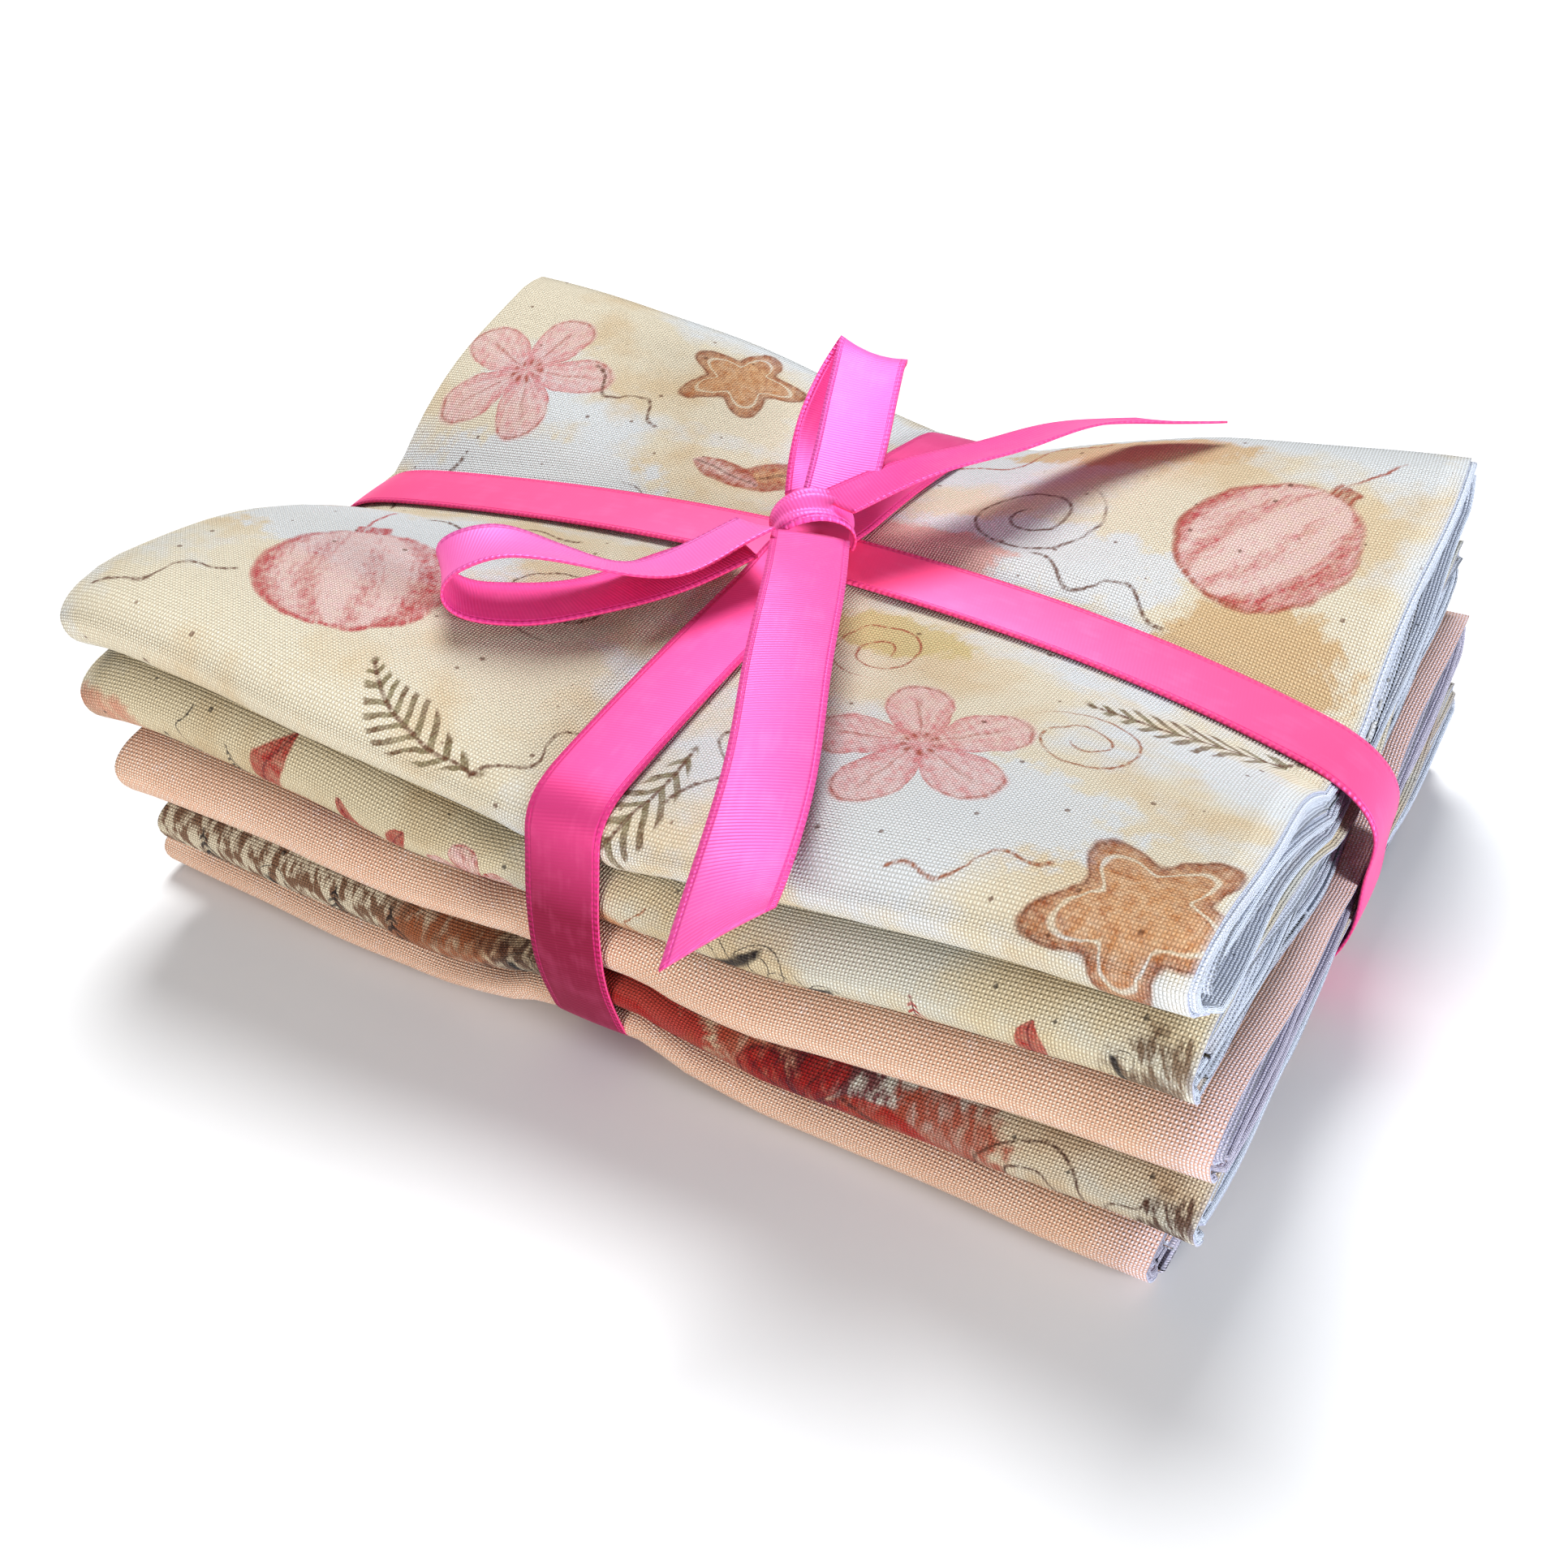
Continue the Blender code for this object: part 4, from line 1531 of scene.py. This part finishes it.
@dataclass
class Knot:
    """The gathered wrap of ribbon that holds the bow."""

    centre: tuple[float, float, float] = (-0.5, 2.0, 48.6)
    heading: float = 34.0
    half_long: float = 5.3
    half_wide: float = 3.9
    high: float = 3.9
    swing: float = 112.0
    gather: float = 0.55
    thick: float = 0.32
    width: float = 10.3
    columns: int = 48
    lanes: int = 24

    def shape(self, column: Array, row: Array) -> Array:
        """Where each point of the wrap lies.

        Args:
            column: Number along the ribbon.
            row: Number across it.

        Returns:
            Points in the part's frame.
        """
        along = column / self.columns * 2.0 - 1.0
        lane = row / self.lanes * 2.0 - 1.0
        angle = np.radians(self.swing) * along
        pleat = self.gather * np.cos(lane * 7.5 + along * 1.1) * (1.0 - 0.5 * np.abs(along))
        narrow = 1.0 - 0.28 * np.abs(along) ** 1.5
        reach = (self.half_long + pleat * 0.4) * np.sin(angle)
        aside = self.half_wide * lane * narrow
        up = (self.high + pleat) * np.cos(angle) - 1.5 * lane * lane
        head = math.radians(self.heading)
        x = self.centre[0] + reach * math.cos(head) - aside * math.sin(head)
        y = self.centre[1] + reach * math.sin(head) + aside * math.cos(head)
        return to_part(np.stack((x, y, self.centre[2] + up), axis=-1))

    def build(self, sides: Sides) -> None:
        """Make the knot and dress it.

        Args:
            sides: Finishes of the side that shows, the inner side and the edge.
        """
        length = 2.0 * math.radians(self.swing) * (self.half_long + self.high) / 2.0
        along = np.linspace(0.0, length, self.columns + 1) * MM
        across = np.linspace(-self.width / 2.0, self.width / 2.0, self.lanes + 1) * MM
        piece = shaped_grid("knot", along, across, self.shape)
        dress(piece, self.thick * MM, sides)
        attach(piece, "root")
        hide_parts("ribbon_knot")
        self.width * MM
        LOG.info("knot: a wrap of %.0f mm", length)


# Colours

ROSE = paint(226, 142, 146)
ROSE_DEEP = paint(200, 78, 84)
BLUSH = paint(240, 206, 204)
TERRACOTTA = paint(176, 84, 60)
GINGER = paint(220, 164, 112)
GINGER_DEEP = paint(168, 98, 58)
UMBER = paint(112, 70, 48)
OLIVE = paint(140, 130, 92)
CRIMSON = paint(176, 34, 28)
BERRY = paint(110, 26, 40)
SOOT = paint(40, 32, 32)
BARK = paint(92, 58, 42)
CREAM = paint(232, 222, 198)
SNOW = paint(232, 238, 242)
# Painted light that the right-hand ends of the cloths take
PAINTED_LIGHT_WHITE = paint(232, 241, 250)
PAINTED_LIGHT_LILAC = paint(236, 228, 242)


def pen(motif: Motif, x: float, y: float, turn: float, size: float, ink: Colour) -> Spot:
    """A shape of pen lines only."""
    return Spot(motif, x, y, turn, size, CREAM, CREAM, ink)


def top_print() -> Print:
    """The large winter print of the top cloth.

    Returns:
        The finish.
    """
    spots = (
        Spot(Motif.BAUBLE, -47.0, -32.0, 28.0, 16.5, BLUSH, ROSE_DEEP, ROSE_DEEP),
        Spot(Motif.FLOWER, -62.0, 30.0, 10.0, 15.0, BLUSH, ROSE, TERRACOTTA),
        Spot(Motif.STAR, -31.0, 42.0, 15.0, 11.0, GINGER, GINGER_DEEP, UMBER),
        Spot(Motif.FLOWER, 33.0, -31.0, 40.0, 15.0, BLUSH, ROSE, TERRACOTTA),
        Spot(Motif.STAR, 67.0, -50.0, 60.0, 13.0, GINGER, GINGER_DEEP, UMBER),
        Spot(Motif.BAUBLE, 55.0, 30.0, -30.0, 15.0, BLUSH, ROSE_DEEP, TERRACOTTA),
        Spot(Motif.SPRIG, 7.0, -53.0, 70.0, 14.0, OLIVE, UMBER, UMBER),
        Spot(Motif.SPRIG, 60.0, -10.0, 20.0, 14.0, OLIVE, UMBER, UMBER),
        Spot(Motif.SPRIG, -24.0, -52.0, -20.0, 12.0, OLIVE, UMBER, UMBER),
        Spot(Motif.PETAL, -14.0, 22.0, 30.0, 8.0, GINGER, TERRACOTTA, UMBER),
        Spot(Motif.PETAL, -21.0, 20.0, 170.0, 6.0, BLUSH, TERRACOTTA, UMBER),
        pen(Motif.CURL, -22.0, -22.0, 40.0, 9.0, UMBER),
        pen(Motif.CURL, 24.0, 26.0, 160.0, 10.0, UMBER),
        pen(Motif.CURL, 50.0, -22.0, 250.0, 8.0, GINGER_DEEP),
        pen(Motif.CURL, 20.0, -12.0, 20.0, 7.0, TERRACOTTA),
        pen(Motif.CURL, -70.0, -6.0, 90.0, 7.0, GINGER_DEEP),
        pen(Motif.WISP, -40.0, -8.0, 10.0, 12.0, UMBER),
        pen(Motif.WISP, -68.0, 2.0, 70.0, 13.0, UMBER),
        pen(Motif.WISP, 38.0, 14.0, -15.0, 11.0, UMBER),
        pen(Motif.WISP, 16.0, 46.0, 30.0, 12.0, TERRACOTTA),
        pen(Motif.WISP, 12.0, -40.0, 80.0, 10.0, UMBER),
        pen(Motif.WISP, -8.0, -47.0, 50.0, 9.0, UMBER),
        pen(Motif.WISP, -66.0, -46.0, 40.0, 9.0, UMBER),
        pen(Motif.CURL, -34.0, 6.0, 200.0, 7.0, UMBER),
        pen(Motif.WISP, -44.0, 30.0, -30.0, 10.0, UMBER),
        pen(Motif.WISP, 48.0, -50.0, 15.0, 9.0, GINGER_DEEP),
    )
    washes = (
        Wash(-50.0, 12.0, 26.0, 9.0, 0.0, SNOW),
        Wash(-54.0, -20.0, 26.0, 13.0, 0.0, SNOW),
        Wash(28.0, 18.0, 24.0, 9.0, 0.0, SNOW),
        Wash(38.0, -40.0, 28.0, 12.0, 0.0, SNOW),
        Wash(20.0, -8.0, 12.0, 5.0, 0.0, paint(222, 204, 150)),
        Wash(14.0, 14.0, 13.0, 6.0, 0.0, paint(238, 190, 180)),
        Wash(30.0, 48.0, 20.0, 6.0, 0.0, paint(224, 196, 156)),
        Wash(60.0, 12.0, 14.0, 10.0, 0.0, paint(222, 192, 148)),
    )
    return Print("cotton_winter_print", paint(238, 230, 208), paint(232, 214, 182), SNOW, UMBER,
                 spots, washes, PAINTED_LIGHT_WHITE)


def small_print() -> Print:
    """The second cloth's sparse print of petals and curls.

    Returns:
        The finish.
    """
    spots = (
        Spot(Motif.PETAL, -44.0, -56.0, 62.0, 5.0, CRIMSON, CRIMSON, BERRY),
        Spot(Motif.PETAL, -38.0, -63.0, 150.0, 6.5, CRIMSON, CRIMSON, BERRY),
        Spot(Motif.PETAL, -32.0, -60.0, 100.0, 4.0, CRIMSON, CRIMSON, BERRY),
        pen(Motif.WISP, -58.0, -58.0, 80.0, 5.0, SOOT),
        pen(Motif.WISP, -54.0, -61.0, 30.0, 4.0, SOOT),
        Spot(Motif.FLOWER, -14.0, -61.0, 20.0, 7.0, BLUSH, CRIMSON, CRIMSON),
        Spot(Motif.SCROLL, 22.0, -58.0, 5.0, 8.0, SOOT, SOOT, SOOT),
        Spot(Motif.SCROLL, 31.0, -60.0, 170.0, 6.0, SOOT, SOOT, SOOT),
        pen(Motif.WISP, 8.0, -59.0, 60.0, 5.0, GINGER_DEEP),
        Spot(Motif.SPRIG, -51.0, -60.0, 70.0, 4.0, SOOT, SOOT, SOOT),
        Spot(Motif.PETAL, -25.0, -58.0, 40.0, 3.0, CRIMSON, CRIMSON, BERRY),
        Spot(Motif.SCROLL, 67.0, -59.0, 80.0, 4.0, SOOT, SOOT, SOOT),
        Spot(Motif.PETAL, 57.0, -59.0, 80.0, 3.5, CRIMSON, CRIMSON, BERRY),
        Spot(Motif.PETAL, 61.0, -64.0, 20.0, 3.0, CRIMSON, CRIMSON, BERRY),
        Spot(Motif.SPRIG, 44.0, -61.0, 80.0, 5.0, CRIMSON, CRIMSON, BERRY),
    )
    washes = (
        Wash(-73.0, -60.0, 9.0, 6.0, 0.2, paint(216, 160, 136)),
        Wash(4.0, -61.0, 6.0, 5.0, 0.3, paint(212, 152, 106)),
        Wash(71.0, -60.0, 8.0, 8.0, 0.6, paint(128, 104, 82)),
        Wash(-12.0, -63.0, 7.0, 4.0, 0.2, paint(232, 168, 150)),
    )
    return Print("cotton_petal_print", paint(226, 214, 184), paint(214, 194, 158),
                 paint(222, 222, 210), SOOT, spots, washes, PAINTED_LIGHT_WHITE)


def dark_print() -> Print:
    """The fourth cloth's brown and red print.

    Returns:
        The finish.
    """
    spots = (
        Spot(Motif.SPRIG, -66.0, -60.0, 90.0, 6.0, SOOT, SOOT, SOOT),
        Spot(Motif.SCROLL, -54.0, -60.0, 100.0, 6.0, SOOT, SOOT, SOOT),
        Spot(Motif.SCROLL, -14.0, -60.0, 80.0, 6.0, SOOT, SOOT, SOOT),
        Spot(Motif.SPRIG, -44.0, -60.0, 80.0, 6.0, SOOT, SOOT, SOOT),
        Spot(Motif.SPRIG, -33.0, -61.0, 95.0, 8.0, SOOT, BARK, SOOT),
        Spot(Motif.PETAL, 3.0, -60.0, 165.0, 9.0, CRIMSON, CRIMSON, BERRY),
        Spot(Motif.FLOWER, 26.0, -60.0, 0.0, 11.0, CRIMSON, BERRY, SOOT),
        Spot(Motif.PETAL, 39.0, -60.0, 150.0, 9.0, TERRACOTTA, CRIMSON, SOOT),
        pen(Motif.CURL, 56.0, -59.0, 0.0, 8.0, BARK),
        pen(Motif.WISP, 65.0, -61.0, 60.0, 8.0, BARK),
    )
    washes = (
        Wash(-56.0, -60.0, 36.0, 18.0, 0.0, paint(128, 92, 68)),
        Wash(-56.0, -60.0, 30.0, 14.0, 0.9, CREAM),
        Wash(-26.0, -60.0, 12.0, 14.0, 0.3, GINGER_DEEP),
        Wash(-10.0, -60.0, 12.0, 14.0, 0.4, BARK),
        Wash(5.0, -60.0, 12.0, 14.0, 0.0, CRIMSON),
        Wash(22.0, -60.0, 12.0, 12.0, 0.2, TERRACOTTA),
        Wash(30.0, -60.0, 15.0, 12.0, 0.5, BERRY),
        Wash(44.0, -60.0, 10.0, 12.0, 0.2, TERRACOTTA),
        Wash(73.0, -60.0, 7.0, 8.0, 0.7, BARK),
    )
    # The last colour is painted light for the right-hand ends.
    return Print("cotton_dark_print", paint(222, 208, 182), paint(196, 166, 130),
                 paint(214, 214, 204), SOOT, spots, washes, paint(214, 210, 216))


def dress_cloths(stack: TiedStack) -> tuple[FatQuarter, ...]:
    """Build the five fat quarters.

    Args:
        stack: The tied stack that they lie in.

    Returns:
        The cloths, top first.
    """
    peach_shade, pale_shade = paint(186, 136, 106), paint(140, 140, 160)
    mottle = Mottle("cotton_pink_mottle", paint(248, 230, 212), paint(250, 240, 232),
                    paint(242, 218, 198), peach_shade, PAINTED_LIGHT_LILAC).make()
    blush = Mottle("cotton_pink_reverse", paint(236, 222, 230), paint(244, 234, 240),
                   paint(226, 206, 220), pale_shade, PAINTED_LIGHT_LILAC)
    washes = (
        Wash(-30.0, 20.0, 9.0, 5.0, 0.8, BERRY),
        Wash(40.0, -30.0, 9.0, 5.0, 0.8, OLIVE),
    )
    pale = Print("cotton_pale_reverse", paint(226, 232, 240), paint(220, 216, 212),
                 paint(234, 240, 246), SOOT, (), washes, PAINTED_LIGHT_WHITE, shade=pale_shade)
    edge = Mottle("cotton_cut_edge", paint(238, 240, 244), paint(248, 248, 250),
                  paint(228, 230, 238), pale_shade, PAINTED_LIGHT_WHITE)
    faces = [top_print().make(), small_print().make(), mottle, dark_print().make(), mottle]
    plain, pink_back, cut = pale.make(), blush.make(), edge.make()
    reverses = [plain, plain, pink_back, plain, pink_back]
    # Node, slot, shift along and across in mm, turn in degrees, how much longer, how plump
    table = (
        ("fat_quarter_1", "cream_print_cotton", -1.9, -0.2, 0.77, 0.2, 1.13),
        ("fat_quarter_2", "cream_small_print_cotton", -1.7, -1.0, 0.77, 0.6, 1.14),
        ("fat_quarter_3", "pink_mottled_cotton", 1.7, -1.5, 1.40, 0.0, 1.03),
        ("fat_quarter_4", "brown_print_cotton", 3.6, -0.9, 0.20, -1.6, 0.86),
        ("fat_quarter_5", "pink_mottled_cotton", 0.4, 0.8, -1.00, -0.8, 0.84),
    )
    cloths: list[FatQuarter] = []
    for index, (node, slot, x, y, turn, longer, plump) in enumerate(table):
        floor = sum(stack.cloth_thick * row[-1] + stack.cloth_air for row in table[index + 1:])
        below = table[index + 1][0] if index + 1 < len(table) else "floor"
        cloth = FatQuarter(node, slot, x, y, turn, longer, plump, floor, FIRST_SEED + index, stack,
                           below)
        cloth.build((faces[index], reverses[index], cut))
        cloths.append(cloth)
    return tuple(cloths)


def dress_tie(stack: TiedStack, cloths: tuple[FatQuarter, ...]) -> None:
    """Build the ribbon.

    Args:
        stack: The tied stack that it holds.
        cloths: The cloths in it, top first.
    """
    deep, glow = paint(206, 48, 124), paint(255, 160, 206)
    rose, pink = paint(240, 88, 138), paint(228, 98, 160)
    # wine is the painted shade of the short band's drop.
    hot, painted_shade_wine = paint(238, 58, 142), paint(116, 22, 46)
    # lilac is the painted highlight of the left loop.
    highlight_lilac, plum = paint(230, 118, 186), paint(196, 56, 136)
    rim = Satin("satin_edge", rose, deep, glow, 0.5, 0.2).make()
    tie = Tie(stack, cloths)
    # Both bands take painted shade (low) where they hang down the sides.
    long_face = Satin("satin_long_band_painted_shade", rose, deep, glow, 0.46, 0.04,
                      low=paint(228, 84, 138)).make()
    short_face = Satin("satin_short_band_painted_shade", paint(212, 76, 136), deep, paint(255, 140, 186), 0.52,
                       0.16, low=painted_shade_wine, painted_shade_from=0.0445, painted_shade_over=0.017).make()
    ribbed = Satin("satin_ribbed", pink, plum, glow, 0.46, 0.60).make()
    # The loop's lilac, the back loop's violet pink and the back tail's pale violet are painted
    # highlights; on the loop and the tail they give way to the far colour further along.
    loop = Satin("satin_loop_painted_highlight", highlight_lilac, plum, glow, 0.46, 0.22, far=paint(240, 96, 160),
                 highlight_until=40.0, highlight_fade=10.0).make()
    back = Satin("satin_back", paint(226, 108, 182), plum, glow, 0.48, 0.50).make()
    trail = Satin("satin_trail_painted_highlight", paint(244, 156, 222), plum, paint(236, 120, 190), 0.52, 0.20,
                  far=hot).make()
    inner = Satin("satin_inner", paint(230, 84, 156), deep, glow, 0.46, 0.45).make()
    wrap = Satin("satin_knot", paint(238, 108, 178), plum, glow, 0.48, 0.40).make()
    tie.band_long().build((long_face, inner, rim))
    tie.band_short().build((short_face, inner, rim))
    sides = {"loop_left": (inner, loop, rim), "loop_back": (inner, back, rim),
             "tail_front": (ribbed, inner, rim), "tail_back": (trail, inner, rim)}
    for run in tie.free_runs():
        run.build(sides[run.name])
    Knot().build((wrap, inner, rim))


# Stage


@dataclass(frozen=True)
class Lamp:
    """A soft round lamp that points at the bundle."""

    name: str
    place: tuple[float, float, float]
    size: float
    power: float
    colour: tuple[float, float, float]

    def hang(self, aim: Vector) -> None:
        """Hang the lamp.

        Args:
            aim: What it points at.
        """
        lamp = bpy.data.lights.new(self.name, "AREA")
        lamp.shape = "DISK"
        lamp.size = self.size
        lamp.energy = self.power
        lamp.color = self.colour
        holder = bpy.data.objects.new(self.name, lamp)
        place = Vector(self.place)
        holder.location = place
        holder.rotation_euler = (aim - place).to_track_quat("-Z", "Y").to_euler()
        bpy.context.scene.collection.objects.link(holder)


@dataclass(frozen=True)
class Studio:
    """Floor, light and camera."""

    place: tuple[float, float, float] = (0.1085, -0.1821, 0.1810)
    right: tuple[float, float, float] = (0.870, 0.492, -0.025)
    up: tuple[float, float, float] = (-0.289, 0.552, 0.782)
    lens: float = 44.27
    sensor: float = 36.0
    nearest: float = 0.01
    floor_size: float = 2.5
    floor_colour: Colour = (0.74, 0.74, 0.74, 1.0)
    sky_colour: Colour = (0.95, 0.97, 1.0, 1.0)
    sky_strength: float = 0.24
    aim: tuple[float, float, float] = (0.0, 0.0, 0.03)
    lamps: tuple[Lamp, ...] = (
        Lamp("key", (-0.30, 0.50, 0.95), 0.60, 13.8, (0.98, 0.99, 1.0)),
        Lamp("front", (-0.05, -1.0, 0.20), 0.45, 6.2, (1.0, 0.97, 0.92)),
        Lamp("side", (0.95, -0.20, 0.22), 0.35, 11.0, (0.88, 0.92, 1.0)),
    )

    def floor(self) -> None:
        """A plain pale floor."""
        sheet = bmesh.new()
        bmesh.ops.create_grid(sheet, x_segments=1, y_segments=1, size=self.floor_size)
        mesh = bpy.data.meshes.new("floor")
        sheet.to_mesh(mesh)
        sheet.free()
        plane = bpy.data.objects.new("floor", mesh)
        bpy.context.scene.collection.objects.link(plane)
        board = Board("floor_white")
        board.set(Base_Color=self.floor_colour, Roughness=0.8, Specular_IOR_Level=0.1)
        mesh.materials.append(board.material)

    def light(self) -> None:
        """Soft light from behind and above, with a little from the front and the right."""
        world = bpy.data.worlds.new("studio")
        world.use_nodes = True
        sky = world.node_tree.nodes["Background"]
        sky.inputs["Color"].default_value = self.sky_colour
        sky.inputs["Strength"].default_value = self.sky_strength
        bpy.context.scene.world = world
        for lamp in self.lamps:
            lamp.hang(Vector(self.aim))

    def camera(self) -> None:
        """The camera at the photograph's viewing angle."""
        data = bpy.data.cameras.new("camera")
        data.lens = self.lens
        data.sensor_width = self.sensor
        data.clip_start = self.nearest
        view = bpy.data.objects.new("camera", data)
        right = Vector(self.right).normalized()
        up = Vector(self.up)
        up = (up - right * up.dot(right)).normalized()
        back = right.cross(up)
        turn = Matrix((right, up, back)).transposed().to_4x4()
        view.matrix_world = Matrix.Translation(Vector(self.place)) @ turn
        bpy.context.scene.collection.objects.link(view)
        bpy.context.scene.camera = view

    def build(self) -> None:
        """Set the stage."""
        self.floor()
        self.light()
        self.camera()
        bpy.context.scene.view_settings.view_transform = "Standard"
        bpy.context.scene.view_settings.look = "Medium High Contrast"


def main() -> None:
    """Build the bundle and its stage."""
    logging.basicConfig(level=logging.INFO, format="%(message)s")
    stack = TiedStack()
    cloths = dress_cloths(stack)
    dress_tie(stack, cloths)
    Studio().build()


if __name__ == "__main__":
    main()
